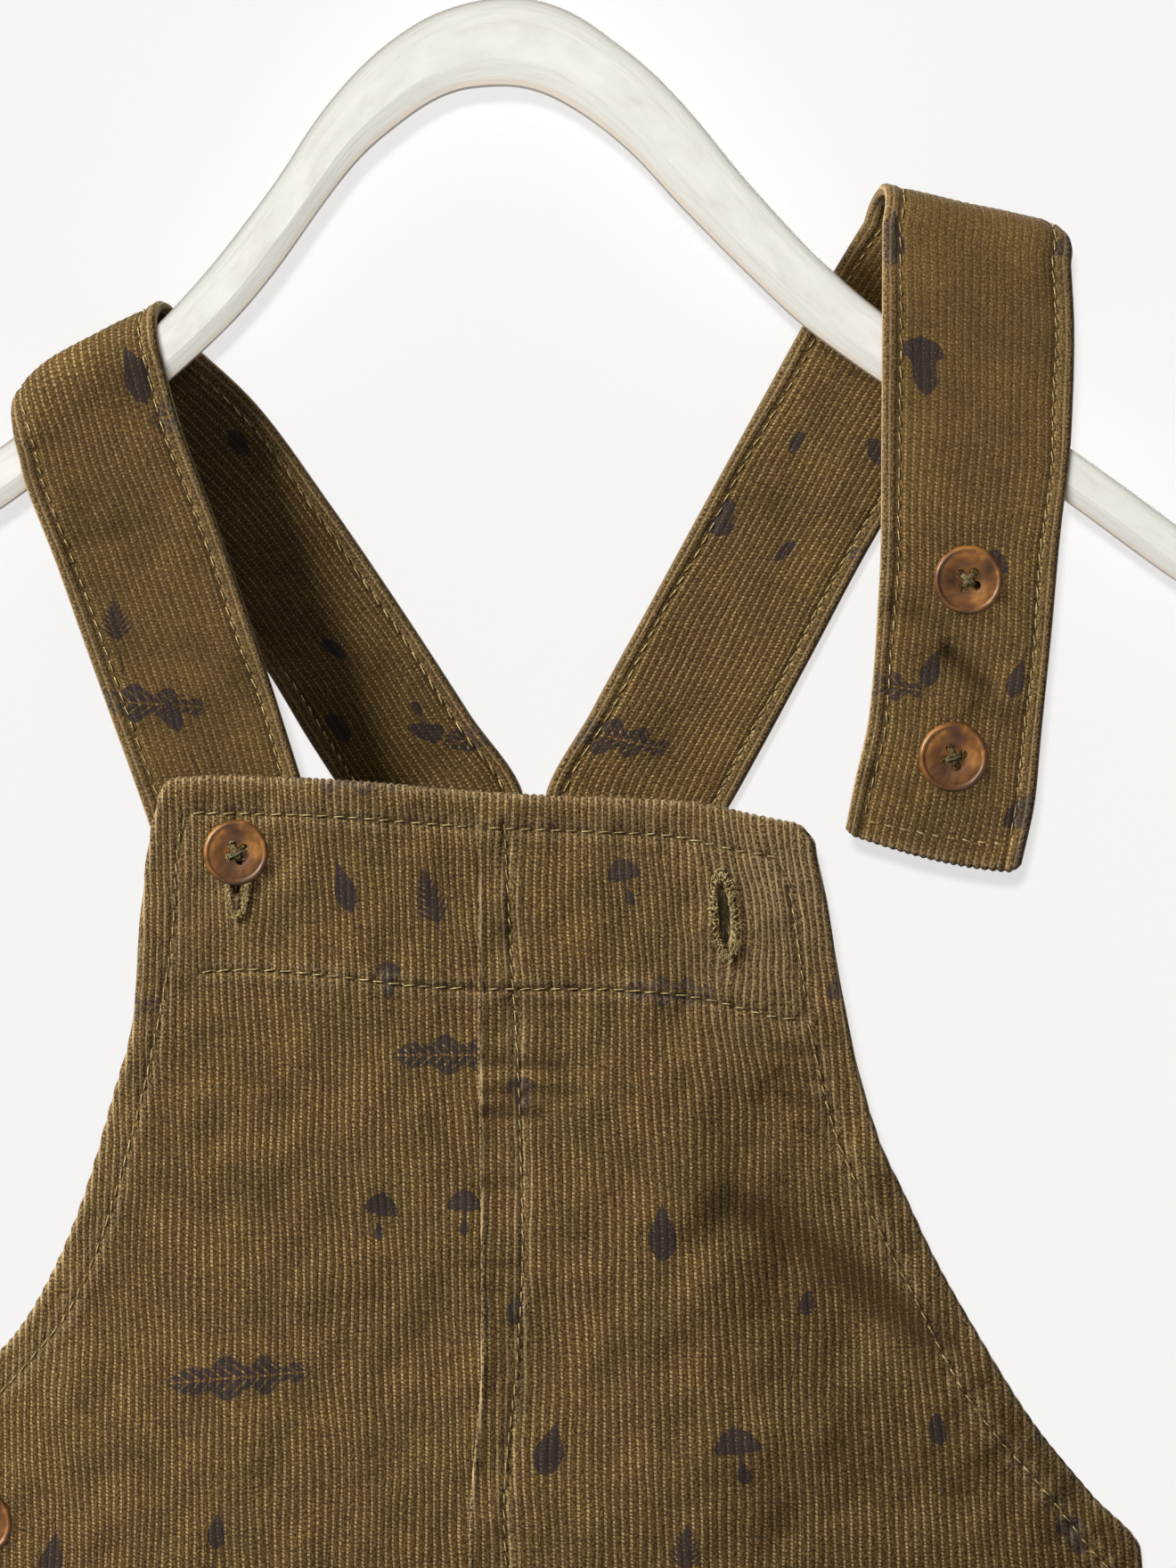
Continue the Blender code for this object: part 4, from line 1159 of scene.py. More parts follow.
def sew_buttonhole(threads, slit_shade_threads, panel, rng):
    """The worked ring: a band of crossed wraps round the slit, with small knots along its edges,
    and a dark roll behind the slit that closes it from the light, standing in as painted shade inside
    it."""
    hole = panel.hole
    half, tall = hole["ring"]

    def lay(start, end, rise, radius, middle):
        flat = start + (end - start) * np.linspace(0, 1, len(rise))[:, None]
        x, z = rotated(*flat.T, hole["lean"])
        threads.add(panel.lift(x + hole["x"], z + middle, CLOTH / 2 + rise), radius)

    def on_band(share, angle):
        """A place on the band: share is 0 at its inner edge and 1 at its outer edge."""
        inset = hole["band"] * (1 - share)
        return np.array([(half - inset) * math.cos(angle), (tall - 1.3 * inset) * math.sin(angle)])

    for k in range(RING_WRAPS):
        angle = 2 * math.pi * (k + rng.uniform(-0.3, 0.3)) / RING_WRAPS
        slanted = angle + (0.13 if k % 2 else -0.1) + rng.uniform(-0.05, 0.05)
        outer = on_band(rng.uniform(0.9, 1.05), angle)
        inner = on_band(rng.uniform(-0.1, 0.15), slanted)
        lay(outer, inner, np.array([0.1, 0.6, 0.85, 0.65, 0.1]), WRAP_RADIUS, hole["ring_z"])
    knot_rise = np.array([0.5, 0.9, 0.95, 0.55])
    for _ in range(RING_KNOTS):
        angle = rng.uniform(0, 2 * math.pi)
        knot = on_band(rng.choice([0.05, 0.5, 0.95]) + rng.uniform(-0.12, 0.12), angle)
        way = rng.uniform(0, math.pi)
        reach = 0.45 * np.array([math.cos(way), math.sin(way)])
        lay(knot - reach, knot + reach, knot_rise, WRAP_RADIUS, hole["ring_z"])
    # Loose ends hang into the slit.
    for _ in range(LOOSE_ENDS):
        angle = rng.uniform(0, 2 * math.pi)
        start = np.array([1.2 * math.cos(angle), SLIT_HALF_LENGTH * math.sin(angle)])
        end = start * rng.uniform(0.3, 0.8) + rng.uniform(-0.4, 0.4, 2)
        lay(start, end, np.linspace(-0.3, -1.0, 4), LOOSE_RADIUS, hole["z"])
    # A dark roll behind the slit stands in for the shade inside it.
    up = np.linspace(-0.95, 0.95, 12) * SLIT_HALF_LENGTH
    x = hole["x"] - up * math.tan(math.radians(hole["lean"]))
    slit_shade_threads.add(panel.lift(x, hole["z"] + up, -2.7), 1.6, 12)


def eased(read):
    """The function with its small kinks smoothed away."""
    steps = np.linspace(-1, 1, 13)
    weights = (1 - steps**2) ** 2

    def at(s):
        return sum(w * read(s + 8.0 * step) for w, step in zip(weights, steps)) / weights.sum()

    return at


def dress_hanger(material):
    """The painted hanger: rounded sections along its bowed line, a little uneven as if hand-cut."""
    along = run_along(np.column_stack([HANGER["x"], HANGER["z"]]))
    at_x, at_z, height = (eased(through(along, HANGER[column])) for column in ("x", "z", "height"))
    # Where each section is, and its share of the full size.
    tips = [(0.0, 0.3), (0.35, 0.62), (1.0, 0.84), (2.2, 0.97)]
    middle = [(s, 1.0) for s in np.linspace(4.2, along[-1] - 4.2, 220)]
    sections = tips + middle + [(along[-1] - s, share) for s, share in reversed(tips)]
    s, share = np.array(sections).T[..., None]
    sides = 60
    angles = 2 * math.pi * (np.arange(sides) + 0.5) / sides
    side, up = (np.copysign(abs(part) ** (1 / 3), part) for part in (np.cos(angles), np.sin(angles)))
    # The lower front edge is planed off.
    beyond = np.maximum(-0.55 * up - 0.835 * side - 1.055, 0.0)
    up, side = up + 0.55 * beyond, side + 0.835 * beyond
    size = share * (1 + 0.012 * wander(s + 0 * angles, 9 * angles, 14.0, 31)) / 2
    dx, dz = at_x(s + 0.5) - at_x(s - 0.5), at_z(s + 0.5) - at_z(s - 0.5)
    reach = up * height(s) * size / np.hypot(dx, dz)
    rings = np.stack([at_x(s) - dz * reach, side * HANGER_DEPTH * size, at_z(s) + dx * reach], axis=-1)
    faces = [face[::-1] for face in ring_faces(len(s), sides)]
    uv = np.stack(np.broadcast_arrays(s, 6.0 * angles), axis=-1).reshape(-1, 2)
    obj = mesh_object("hanger_wood", rings.reshape(-1, 3), faces, [material], uv)
    obj.data.set_sharp_from_angle(angle=math.radians(19))
    return obj


def dress_hook(material):
    """The bright wire hook: its round from the tip, and its neck down into the wood."""
    angles = np.radians(np.linspace(*HOOK_ANGLES, 90))
    x = HOOK_RADIUS * np.cos(angles)
    z = HOOK_RADIUS * np.sin(angles) + HOOK_WIRE / 2 - HOOK_RADIUS
    neck = through(np.append(z[-1], HOOK_NECK["z"]), np.append(x[-1], HOOK_NECK["x"]))
    down = np.linspace(z[-1], HOOK_FOOT_Z, 40)[1:]
    x, z = np.append(x, neck(down)), np.append(z, down)
    path = np.column_stack([x, 0 * x, z])
    tip = np.sqrt(1 - (1 - np.minimum(run_along(path) / 1.6, 1.0)) ** 2)
    points, faces = tube(path, HOOK_WIRE / 2, 24, np.maximum(tip, 0.35), (0.0, 1.0, 0.0))
    return mesh_object("hook_wire", points, faces, [material])


def button_mesh(material):
    """The turned button, with a rolled rim, a dished middle and four drilled holes."""
    steps = 72
    angles = 2 * math.pi * np.arange(steps) / steps
    radius, height = BUTTON_PROFILE["radius"][:, None], BUTTON_PROFILE["height"][:, None]
    rings = [radius * np.cos(angles), radius * np.sin(angles), height + 0 * angles]
    faces = ring_faces(len(radius), steps, capped=False)
    blank = mesh_object("button_blank", np.stack(rings, axis=-1).reshape(-1, 3), faces, [])
    weld(blank.data)
    work = bmesh.new()
    for degrees in (45, 135, 225, 315):
        x, y = rotated(DRILL_CIRCLE * MM, 0.0, degrees)
        bmesh.ops.create_cone(
            work, cap_ends=True, segments=20, radius1=1.0 * MM, radius2=1.15 * MM, depth=6 * MM,
            matrix=Matrix.Translation((x, y, 1.0 * MM)),
        )
    drills = bpy.data.objects.new("drills", bpy.data.meshes.new("drills"))
    work.to_mesh(drills.data)
    work.free()
    bpy.context.scene.collection.objects.link(drills)
    cut = blank.modifiers.new("holes", "BOOLEAN")
    cut.operation = "DIFFERENCE"
    cut.object = drills
    bpy.context.view_layer.update()
    graph = bpy.context.evaluated_depsgraph_get()
    made = bpy.data.meshes.new_from_object(blank.evaluated_get(graph), depsgraph=graph)
    made.name = "button"
    for obj in (blank, drills):
        bpy.data.objects.remove(obj)
    made.materials.clear()
    made.materials.append(material)
    made.shade_smooth()
    made.set_sharp_from_angle(angle=math.radians(50))
    return made


def dress_buttons(all_panels, material, threads):
    """Each button on its shank, tied on with a cross of thread."""
    mesh = button_mesh(material)
    rng = np.random.default_rng(12)
    pieces = {}
    for name, (x, z, cloth_y, shank, degrees, size) in BUTTONS.items():
        if cloth_y is None:
            panel = all_panels["front_left" if x < 0 else "front_right"]
            cloth_y = float(panel.y(x, z)) - CLOTH / 2
        back = cloth_y - SEAM - shank
        obj = bpy.data.objects.new(name + "_horn", mesh)
        tilt = Matrix.Rotation(math.radians(90), 4, "X")
        spin = Matrix.Rotation(math.radians(degrees), 4, "Z")
        place = Matrix.Translation(Vector((x, back, z)) * MM)
        obj.matrix_world = place @ tilt @ spin @ Matrix.Scale(size, 4)
        bpy.context.scene.collection.objects.link(obj)
        pieces[name] = obj
        tie_button(threads, x, z, degrees, back, cloth_y, rng)
    return pieces


def tie_button(threads, x, z, degrees, back, cloth_y, rng):
    """Two crossed bundles of thread over the button, and the wound shank below it."""
    face_y = back - (BUTTON_THICK - BUTTON_DISH)
    share = np.linspace(-1, 1, 9)
    for bundle in (0, 1):
        for strand in (-0.42, -0.14, 0.14, 0.42):
            aside = strand * (1.15 - 0.5 * abs(share)) + rng.uniform(-0.05, 0.05)
            across, up = rotated(2.15 * share, aside, degrees + 45 + 90 * bundle)
            height = 0.35 + 0.28 * bundle + rng.uniform(-0.05, 0.1)
            y = face_y - height * (1 - share**4) + 1.1 * (abs(share) > 0.99)
            threads.add(np.column_stack([x + across, y, z + up]), TIE_RADIUS, 6)
    for k in range(SHANK_TURNS):
        angles = np.linspace(0, 2 * math.pi, 15) + k
        level = cloth_y - SEAM / 2 + (back - cloth_y) * (k + 0.5) / SHANK_TURNS
        wound = [x + 0.75 * np.cos(angles), level + 0 * angles, z + 0.75 * np.sin(angles)]
        threads.add(np.column_stack(wound), 0.16)


class Value:
    """A socket of a node tree that can be reckoned with like a number."""

    def __init__(self, look, socket):
        self.look, self.socket = look, socket

    def math(self, operation, *values):
        inputs = dict(enumerate((self, *values)))
        return self.look.node("ShaderNodeMath", inputs, operation=operation)

    def __add__(self, other):
        return self.math("ADD", other)

    def __sub__(self, other):
        return self.math("SUBTRACT", other)

    def __rsub__(self, other):
        inputs = {0: other, 1: self}
        return self.look.node("ShaderNodeMath", inputs, operation="SUBTRACT")

    def __mul__(self, other):
        return self.math("MULTIPLY", other)

    def __truediv__(self, other):
        return self.math("DIVIDE", other)


class Look:
    """A node material in short calls, most of which give a Value."""

    def __init__(self, name):
        self.data = bpy.data.materials.new(name)
        self.data.use_nodes = True
        self.tree = self.data.node_tree
        self.shader = self.tree.nodes["Principled BSDF"]

    def make(self, kind, inputs=(), **settings):
        made = self.tree.nodes.new(kind)
        for name, value in settings.items():
            setattr(made, name, value)
        for key, value in dict(inputs).items():
            self.feed(made.inputs[key], value)
        return made

    def node(self, kind, inputs=(), output=0, **settings):
        return Value(self, self.make(kind, inputs, **settings).outputs[output])

    def feed(self, socket, value):
        if isinstance(value, Value):
            self.tree.links.new(value.socket, socket)
        else:
            socket.default_value = value

    def parts(self, kind, value):
        return [Value(self, socket) for socket in self.make(kind, {0: value}).outputs]

    def wale(self):
        """The mesh's map: the number of the rib, and the run along it in millimetres."""
        return self.parts("ShaderNodeSeparateXYZ", self.node("ShaderNodeUVMap", uv_map="wale"))[:2]

    def place(self):
        """A point's place in its object, in metres."""
        return self.node("ShaderNodeTexCoord", output=3)

    def mark(self, name):
        """One of the mesh's marks, 0 where the mesh doesn't have it."""
        return self.node("ShaderNodeAttribute", output=2, attribute_name=name)

    def step(self, value, low, high, to_low=0.0, to_high=1.0):
        """A soft step of the value from low to high."""
        inputs = dict(enumerate((value, low, high, to_low, to_high)))
        return self.node("ShaderNodeMapRange", inputs, interpolation_type="SMOOTHSTEP")

    def vector(self, *values):
        return self.node("ShaderNodeCombineXYZ", dict(enumerate(values)))

    def noise(self, place, scale, detail=2.0, roughness=0.5):
        """Noise at a place, which may be given by its coordinates."""
        place = self.vector(*place) if isinstance(place, tuple) else place
        inputs = {"Vector": place, "Scale": scale, "Detail": detail, "Roughness": roughness}
        return self.node("ShaderNodeTexNoise", inputs)

    def mix(self, share, *colours):
        """Between two colours, each a Value or a display colour."""
        first, second = (c if isinstance(c, Value) else srgb(*c) for c in colours)
        inputs = {0: share, 6: first, 7: second}
        return self.node("ShaderNodeMix", inputs, output=2, data_type="RGBA")

    def scaled(self, colour, share):
        return self.node("ShaderNodeVectorMath", {0: colour, "Scale": share}, operation="SCALE")

    def ramp(self, value, *stops):
        """Colours between the stops, each a place and a display colour."""
        made = self.make("ShaderNodeValToRGB", {0: value})
        band = made.color_ramp
        while len(band.elements) < len(stops):
            band.elements.new(0.5)
        for element, (place, colour) in zip(band.elements, stops):
            element.position = place
            element.color = srgb(*colour)
        return Value(self, made.outputs[0])

    def curve(self, value, *points):
        """A value through the points of a curve from 0 to 1."""
        made = self.make("ShaderNodeFloatCurve", {1: value})
        line = made.mapping.curves[0]
        while len(line.points) < len(points):
            line.points.new(0.5, 0.5)
        for point, place in zip(line.points, points):
            point.location = place
        made.mapping.update()
        return Value(self, made.outputs[0])

    def bump(self, height, distance, strength):
        inputs = {"Height": height, "Distance": distance, "Strength": strength}
        return self.node("ShaderNodeBump", inputs)

    def finish(self, **values):
        """The material, with these inputs of its shader."""
        for name, value in values.items():
            self.feed(self.shader.inputs[name.replace("_", " ")], value)
        return self.data


def cell(look, x, z, width, height, seed):
    """Cells of a scattered print: where a point is in its cell, and three random numbers."""
    down = z / height
    row = down.math("FLOOR")
    across = x / width + (row * 0.382).math("FRACT")
    key = look.vector(across.math("FLOOR"), row, seed)
    drawn = look.node("ShaderNodeTexWhiteNoise", {"Vector": key}, output=1)
    a = (across.math("FRACT") - 0.5) * width
    b = (down.math("FRACT") - 0.5) * height
    return a, b, *look.parts("ShaderNodeSeparateColor", drawn)


def scattered(look, x, z, seed, size, share, kinds, lean):
    """A layer of the print: one silhouette in some of the cells, 1 inside it."""
    width, height, length = size
    a, b, one, two, three = cell(look, x, z, width, height, seed)
    a = a + (one - 0.5) * (0.34 * (width - 0.7 * length))
    b = b + (two - 0.5) * (0.8 * max(height - length, 1.0))
    angle = (one - 0.5) * 0.5 + lean
    cosine, sine = angle.math("COSINE"), angle.math("SINE")
    long = (two * 0.4 + 0.72) * length
    up = (b * cosine - a * sine) / long + 0.5
    out = (a * cosine + b * sine).math("ABSOLUTE") / long
    total = 0.0
    for number, (points, teeth) in enumerate(kinds):
        half = look.curve(up.math("MAXIMUM", 0.0).math("MINIMUM", 1.0), *points)
        if teeth:
            half = half * (((up - out) * teeth).math("PINGPONG", 0.5) * 1.8 + 0.2)
        inside = look.step(half - out, -0.008, 0.012)
        low, high = (share * k / len(kinds) for k in (number, number + 1))
        chosen = three.math("GREATER_THAN", low) * three.math("LESS_THAN", high)
        total = inside * chosen + total
    return total, up, out


# Silhouettes: half-widths from the foot at 0 to the tip at 1, in lengths of the figure.
LEAF = ((0, 0.012), (0.16, 0.014), (0.24, 0.11), (0.5, 0.19), (0.8, 0.09), (1, 0))
ACORN = ((0, 0), (0.14, 0.13), (0.52, 0.2), (0.56, 0.27), (0.78, 0.2), (0.84, 0.03), (1, 0))
TOADSTOOL = ((0, 0), (0.02, 0.07), (0.46, 0.05), (0.5, 0.3), (0.76, 0.22), (0.94, 0), (1, 0))
SPRIG = ((0, 0.02), (0.18, 0.03), (0.3, 0.26), (0.66, 0.19), (0.94, 0.04), (1, 0))
SEED_HEAD = ((0, 0.012), (0.42, 0.014), (0.5, 0.1), (0.74, 0.13), (0.96, 0.04), (1, 0))
LONG_LEAF = (
    (0, 0.006), (0.13, 0.01), (0.2, 0.07), (0.29, 0.045), (0.4, 0.125), (0.5, 0.07), (0.62, 0.14),
    (0.72, 0.075), (0.84, 0.09), (0.94, 0.04), (1, 0),
)


def printed(look, x, z):
    """The print: small leaves, acorns, toadstools and sprigs, and now and then a long lobed leaf."""
    kinds = [(LEAF, 0), (SPRIG, 9.0), (ACORN, 0), (TOADSTOOL, 0), (SEED_HEAD, 0)]
    small, _, _ = scattered(look, x, z, 3.0, (19.0, 25.0, 14.0), 0.42, kinds, 0.0)
    large, up, out = scattered(look, x, z, 8.0, (74.0, 66.0, 34.0), 0.85, [(LONG_LEAF, 0)], 1.45)
    veins = look.step(((up - out) * 14.0).math("PINGPONG", 0.5), 0.06, 0.14)
    veins = veins.math("MAXIMUM", look.step(out, 0.075, 0.09)) * look.step(out, 0.004, 0.009)
    return (small + large * veins).math("MINIMUM", 1.0)


def from_crest(rib):
    """How far across a rib a point is, 0 on its crest and 1 in the valley."""
    return (rib.math("FRACT") - 0.5).math("ABSOLUTE") * 2.0


def corduroy():
    """Ribs of brown pile with pale beaded lines between them, and the grey-purple print."""
    look = Look("corduroy")
    rib, run = look.wale()
    x = rib * MAP_PITCH
    away = from_crest(rib) + (look.noise((rib * 2.0, run), 1.9, 3.0, 0.65) - 0.5) * 0.75
    valley = look.step(away, 0.65, 0.78)
    # Painted shade: a dark band in the groove beside each pale line, standing in for the rib flank's
    # shadow.
    groove_shade = look.step(away, 0.4, 0.6) * (1.0 - valley)
    pile = look.step(look.noise((rib * 2.6, run * 1.25), 1.3, 3.0, 0.75), 0.3, 0.7)
    hue = look.step(look.noise((rib * 0.14, run * 0.05), 1.0, 4.0, 0.6), 0.3, 0.7)
    brown = look.ramp(pile, (0.0, (43, 27, 7)), (0.45, (95, 66, 29)), (1.0, (157, 121, 69)))
    olive = look.ramp(pile, (0.0, (41, 31, 8)), (0.45, (88, 70, 28)), (1.0, (149, 123, 67)))
    tone = look.mix(groove_shade * 0.45, look.mix(hue * 0.4, brown, olive), (40, 28, 10))

    # The beads of each pale line start at a place of their own, and lean across it.
    between = rib.math("ROUND")
    own = look.node("ShaderNodeTexWhiteNoise", {"W": between}, noise_dimensions="1D")
    turns = run * (2 * math.pi / BEAD_STEP) + own * 6.28 + (rib - between) * 5.0
    turns = turns + look.noise((between, run), 0.5, 1.0) * 9.0
    worn = look.step(look.noise((rib * 0.11, run * 0.05, 7.0), 1.0, 3.0, 0.6), 0.34, 0.62, 0.62, 1.0)
    patchy = look.step(look.noise((between, run), 1.3, 3.0, 0.7), 0.32, 0.58, 0.3, 1.0)
    bead = (turns.math("SINE") * 0.5 + 0.5) * worn
    bead = look.step(bead, 0.05, 0.75, 0.22, 1.0) * patchy
    faded = look.mark("faded")
    pale = look.mix(faded, look.mix(hue, (219, 186, 127), (208, 183, 120)), (156, 128, 76))
    base = look.mix(valley, tone, look.mix(bead, (62, 43, 19), pale))
    base = look.mix(faded * 0.27, base, (154, 122, 72))

    speck = look.step(look.noise((x, run), 2.6, 3.0, 0.7), 0.3, 0.46)
    ink = look.mix(bead * valley, (56, 45, 45), (84, 74, 70))
    base = look.mix(printed(look, x, run) * speck * 0.94, base, ink)

    bare = look.step(pile, 0.3, 0.75, 0.0, 0.45).math("MAXIMUM", valley * 0.8)
    # Paler where worn and in the pale patches; along the lap's edge a painted highlight.
    base = look.mix(look.mark("wear_and_highlight") * bare, base, (206, 178, 132))
    # Painted shade darkens the channels under the stitches.
    base = look.mix(look.mark("sewn") * 0.45, base, (38, 28, 11))
    # Painted shade darkens the narrow creases.
    base = look.mix(look.mark("crease_shade") * 0.6, base, (60, 40, 14))
    shade = look.step(look.noise((x, run), 0.08, 5.0, 0.68), 0.3, 0.7, 0.62, 0.88)
    return look.finish(
        Base_Color=look.scaled(base, shade),
        Normal=look.bump(pile * 0.6 + bead * valley * 0.4, 0.0004, 0.6),
        Roughness=0.92, Specular_IOR_Level=0.2, Sheen_Weight=0.12, Sheen_Roughness=0.45,
        Sheen_Tint=srgb(200, 172, 118),
    )


def wrong_side():
    """The cloth's inside: a plain fine twill, with a corduroy facing inside the bib's top."""
    look = Look("corduroy_inside")
    rib, run = look.wale()
    x = rib * MAP_PITCH
    facing = look.step(run, -287.0, -286.2)
    valley = look.step(from_crest(rib), 0.6, 0.9) * facing
    twill = ((x + run) * (2 * math.pi / TWILL_STEP)).math("SINE")
    weave = (twill + 1.0) * (0.5 - facing * 0.5)
    fibre = look.noise((x * 2.0, run), 1.7, 4.0, 0.7)
    tone = look.ramp(fibre, (0.3, (78, 61, 34)), (0.7, (118, 98, 62)))
    tone = look.mix(weave * 0.3, tone, (140, 122, 84))
    return look.finish(
        Base_Color=look.mix(valley, tone, (158, 138, 98)),
        Normal=look.bump(weave * 0.4 + fibre - valley, 0.0003, 0.5),
        Roughness=0.95, Specular_IOR_Level=0.15,
    )


def thread_look(name, light):
    """Olive-yellow sewing thread with its twist, scaled in lightness."""
    look = Look(name)
    fibre = look.noise(look.place(), 1400.0, 3.0, 0.6)
    patch = look.step(look.noise(look.place(), 60.0, 1.0), 0.4, 0.65, 0.0, 0.4)
    tone = look.ramp(fibre, (0.3, (112, 95, 52)), (0.5, (184, 163, 108)), (0.68, (228, 212, 160)))
    tone = look.scaled(look.mix(patch, tone, (122, 106, 62)), light)
    normal = look.bump(fibre, 0.0001, 0.6)
    return look.finish(Base_Color=tone, Normal=normal, Roughness=0.8, Specular_IOR_Level=0.25)


def horn():
    """Polished horn-brown: dark swirls and streaks in amber."""
    look = Look("horn")
    place = look.place()
    drawn = look.node("ShaderNodeVectorMath", {0: place, 1: (1.0, 2.2, 1.0)}, operation="MULTIPLY")
    streak = look.noise(drawn, 300.0, 4.0, 0.55)
    both = look.noise(place, 130.0, 3.0, 0.6) * 0.65 + streak * 0.35
    dark, amber = (0.32, (50, 26, 8)), (0.7, (180, 126, 56))
    return look.finish(
        Base_Color=look.ramp(both, dark, (0.45, (90, 54, 18)), (0.56, (124, 77, 29)), amber),
        Normal=look.bump(streak, 0.0001, 0.12), Roughness=0.42, Coat_Weight=0.14,
        Coat_Roughness=0.16, Subsurface_Weight=0.08, Subsurface_Scale=0.001,
    )


def painted_wood():
    """White paint brushed along the wood, thin in places, with warmer painted shade on all but the
    front.
    """
    look = Look("painted_wood")
    along, around = look.wale()
    stroke = look.noise((along * 0.05, around), 1.5, 5.0, 0.62)
    broad = look.noise((along * 0.02, around * 0.22), 1.0, 3.0)
    tone = look.ramp(stroke, (0.3, (222, 219, 210)), (0.48, (230, 228, 221)), (0.7, (235, 234, 228)))
    thin = look.step(stroke, 0.4, 0.28) * look.step(broad, 0.45, 0.6)
    tone = look.mix(thin * 0.22, tone, (200, 184, 160))
    # Painted shade: top, back and underside are painted warmer and darker than the front.
    sides = look.step(around, 13.8, 12.2) + look.step(around, 23.4, 25.4)
    return look.finish(
        Base_Color=look.mix(sides * 0.7, tone, (222, 208, 190)),
        Normal=look.bump(stroke + broad * 0.5, 0.0004, 0.4),
        Roughness=look.step(stroke, 0.3, 0.7, 0.62, 0.42), Specular_IOR_Level=0.4,
    )


def wire():
    """Bright steel wire with fine drawing marks."""
    look = Look("steel_wire")
    marks = look.noise(look.place(), 900.0, 4.0, 0.7)
    return look.finish(
        Base_Color=look.ramp(marks, (0.3, (186, 186, 186)), (0.7, (216, 216, 214))),
        Normal=look.bump(marks, 0.00003, 0.4), Roughness=look.step(marks, 0.3, 0.7, 0.16, 0.3),
        Metallic=1.0,
    )


def backdrop_look():
    """A pale studio surface. It lets the light and the eye through from behind."""
    look = Look("backdrop")
    mottle = look.noise(look.place(), 2.0)
    look.finish(
        Base_Color=look.ramp(mottle, (0.0, (188, 188, 188)), (1.0, (191, 191, 191))),
        Roughness=0.9, Emission_Color=srgb(246, 246, 246), Emission_Strength=0.715,
    )
    behind, clear = look.node("ShaderNodeNewGeometry", output=6), look.node("ShaderNodeBsdfTransparent")
    front = Value(look, look.shader.outputs[0])
    surface = look.node("ShaderNodeMixShader", {0: behind, 1: front, 2: clear})
    look.feed(look.tree.nodes["Material Output"].inputs["Surface"], surface)
    return look.data


def stage_piece(name, side, place, tilt, material):
    """A flat square stage sheet, with its side and place in metres and its tilt in degrees."""
    corners = np.array([(-1, -1, 0), (1, -1, 0), (1, 1, 0), (-1, 1, 0)]) * side / 2 / MM
    obj = mesh_object(name, corners, [(0, 1, 2, 3)], [material])
    obj.data.shade_flat()
    obj.location = place
    obj.rotation_euler = (math.radians(tilt), 0.0, 0.0)
    obj.visible_diffuse = False
    return obj


def area_light(name, azimuth, elevation, away, size, power, colour):
    """A soft round lamp aimed at the middle of the view."""
    data = bpy.data.lights.new(name, "AREA")
    data.shape = "DISK"
    data.size = size
    data.energy = power
    data.color = colour
    azimuth, elevation = math.radians(azimuth), math.radians(elevation)
    level = math.cos(elevation)
    towards = Vector((math.sin(azimuth) * level, -math.cos(azimuth) * level, math.sin(elevation)))
    obj = bpy.data.objects.new(name, data)
    obj.location = Vector((VIEW_X * MM, 0.0, VIEW_Z * MM)) + towards * away
    obj.rotation_euler = towards.to_track_quat("Z", "Y").to_euler()
    bpy.context.scene.collection.objects.link(obj)
    return obj


def light_only(lamp, pieces, state, use="receiver_collection"):
    """The lamp includes or excludes those pieces, as what it lights or as what blocks it."""
    chosen = bpy.data.collections.new(lamp.name + "_" + use)
    setattr(lamp.light_linking, use, chosen)
    for piece in pieces:
        chosen.objects.link(piece)
    for entry in chosen.collection_objects:
        entry.light_linking.link_state = state


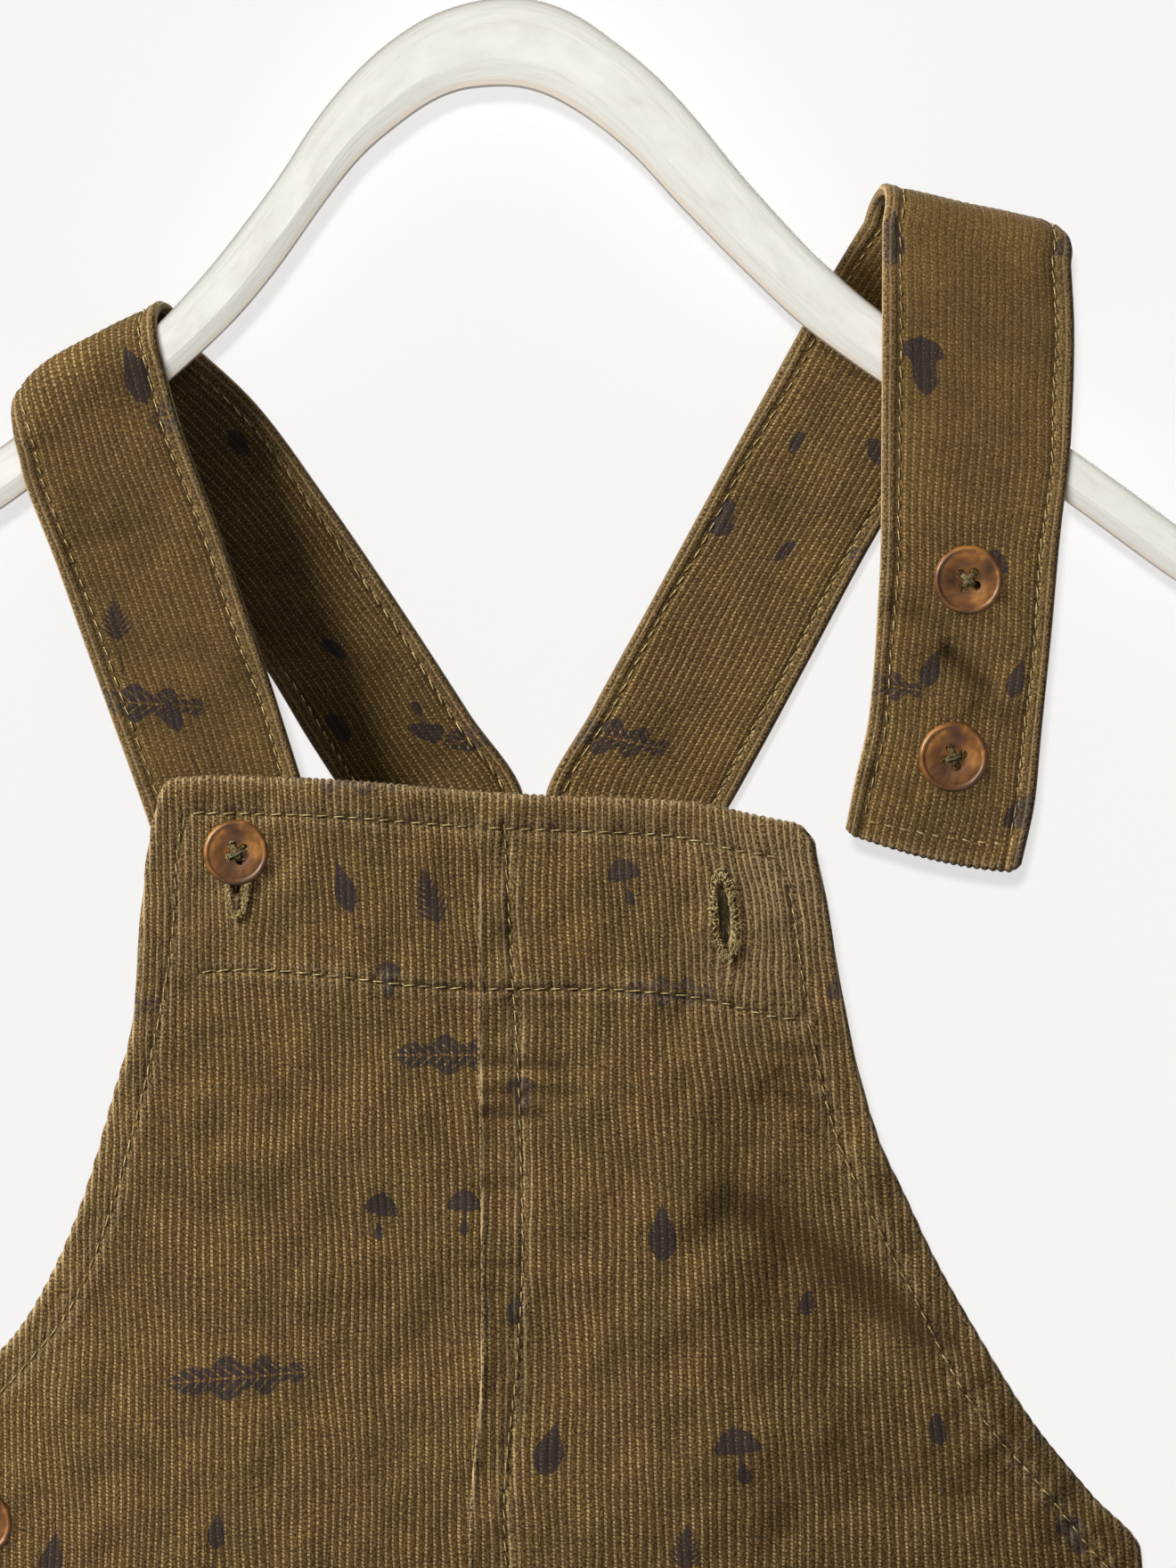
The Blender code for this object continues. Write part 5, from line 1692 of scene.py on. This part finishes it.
def studio(pieces):
    """A pale wall and floor, the lamps, and a camera straight in front."""
    scene = bpy.context.scene
    look = backdrop_look()
    wall = stage_piece("wall", 4.0, (0.0, WALL_Y * MM, 1.0), 90, look)
    wall.visible_shadow = False
    floor = stage_piece("floor", 6.0, (0.0, 0.0, FLOOR_Z * MM), 0, look)
    pieces = {**pieces, "wall": [wall], "floor": [floor]}
    for name, *spec, state, lit in LAMPS:
        lamp = area_light(name, *spec)
        light_only(lamp, [piece for group in lit.split() for piece in pieces[group]], state)
        if name == "key":
            # The buttons don't block it, so that their shadows on the cloth stay weak.
            light_only(lamp, pieces["buttons"], "EXCLUDE", "blocker_collection")
    world = bpy.data.worlds.new("studio")
    world.use_nodes = True
    shade = world.node_tree.nodes["Background"]
    shade.inputs["Color"].default_value = WORLD_COLOUR
    shade.inputs["Strength"].default_value = WORLD_STRENGTH
    scene.world = world
    data = bpy.data.cameras.new("camera")
    data.sensor_width = SENSOR
    data.lens = SENSOR * CAMERA_AWAY / (VIEW_HEIGHT * MM)
    camera = bpy.data.objects.new("camera", data)
    camera.location = (VIEW_X * MM, CAMERA_Y, VIEW_Z * MM)
    camera.rotation_euler = (math.radians(90), 0.0, 0.0)
    scene.collection.objects.link(camera)
    scene.camera = camera
    scene.view_settings.view_transform = "Standard"
    scene.view_settings.look = "None"


def place_piece(obj, slot, *nodes):
    """The piece rides on the one body, and stands for its solids."""
    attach(obj, BODY)
    if nodes:
        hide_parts(*nodes)
    return obj


def main():
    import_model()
    cloth, inside = corduroy(), wrong_side()
    thread, dark_thread = thread_look("thread", 1.0), thread_look("buttonhole_thread", 0.85)
    rng = np.random.default_rng(7)
    threads, rings, ties = Threads(), Threads(), Threads()
    all_panels = {name: Panel(name) for name in OUTER}
    for name, panel in all_panels.items():
        obj = place_piece(dress_panel(panel, [cloth, inside]), "corduroy", name)
        width, length, area = cut_size(panel)
        for line, _ in panel.lines:
            sew_line(threads, panel, line, rng)
        if panel.hole:
            sew_buttonhole(rings, ties, panel, rng)
    pieces = {}
    for name in STRAPS:
        strap = Strap(name)
        obj = place_piece(dress_strap(strap, [cloth]), "corduroy", name)
        sew_strap(threads, strap, rng)
        pieces[name] = [obj]
    place_piece(threads.build("stitches", thread), "corduroy")
    place_piece(rings.build("buttonhole_rings", dark_thread), "corduroy")
    pieces["hanger"] = [place_piece(dress_hanger(painted_wood()), "painted_wood", "hanger")]
    place_piece(dress_hook(wire()), "steel_wire", "hook")
    buttons = dress_buttons(all_panels, horn(), ties)
    pieces["buttons"] = [place_piece(obj, "horn", name) for name, obj in buttons.items()]
    tied = ties.build("button_threads", thread_look("button_thread", 0.33))
    pieces["ties"] = [place_piece(tied, "corduroy")]
    studio(pieces)


main()
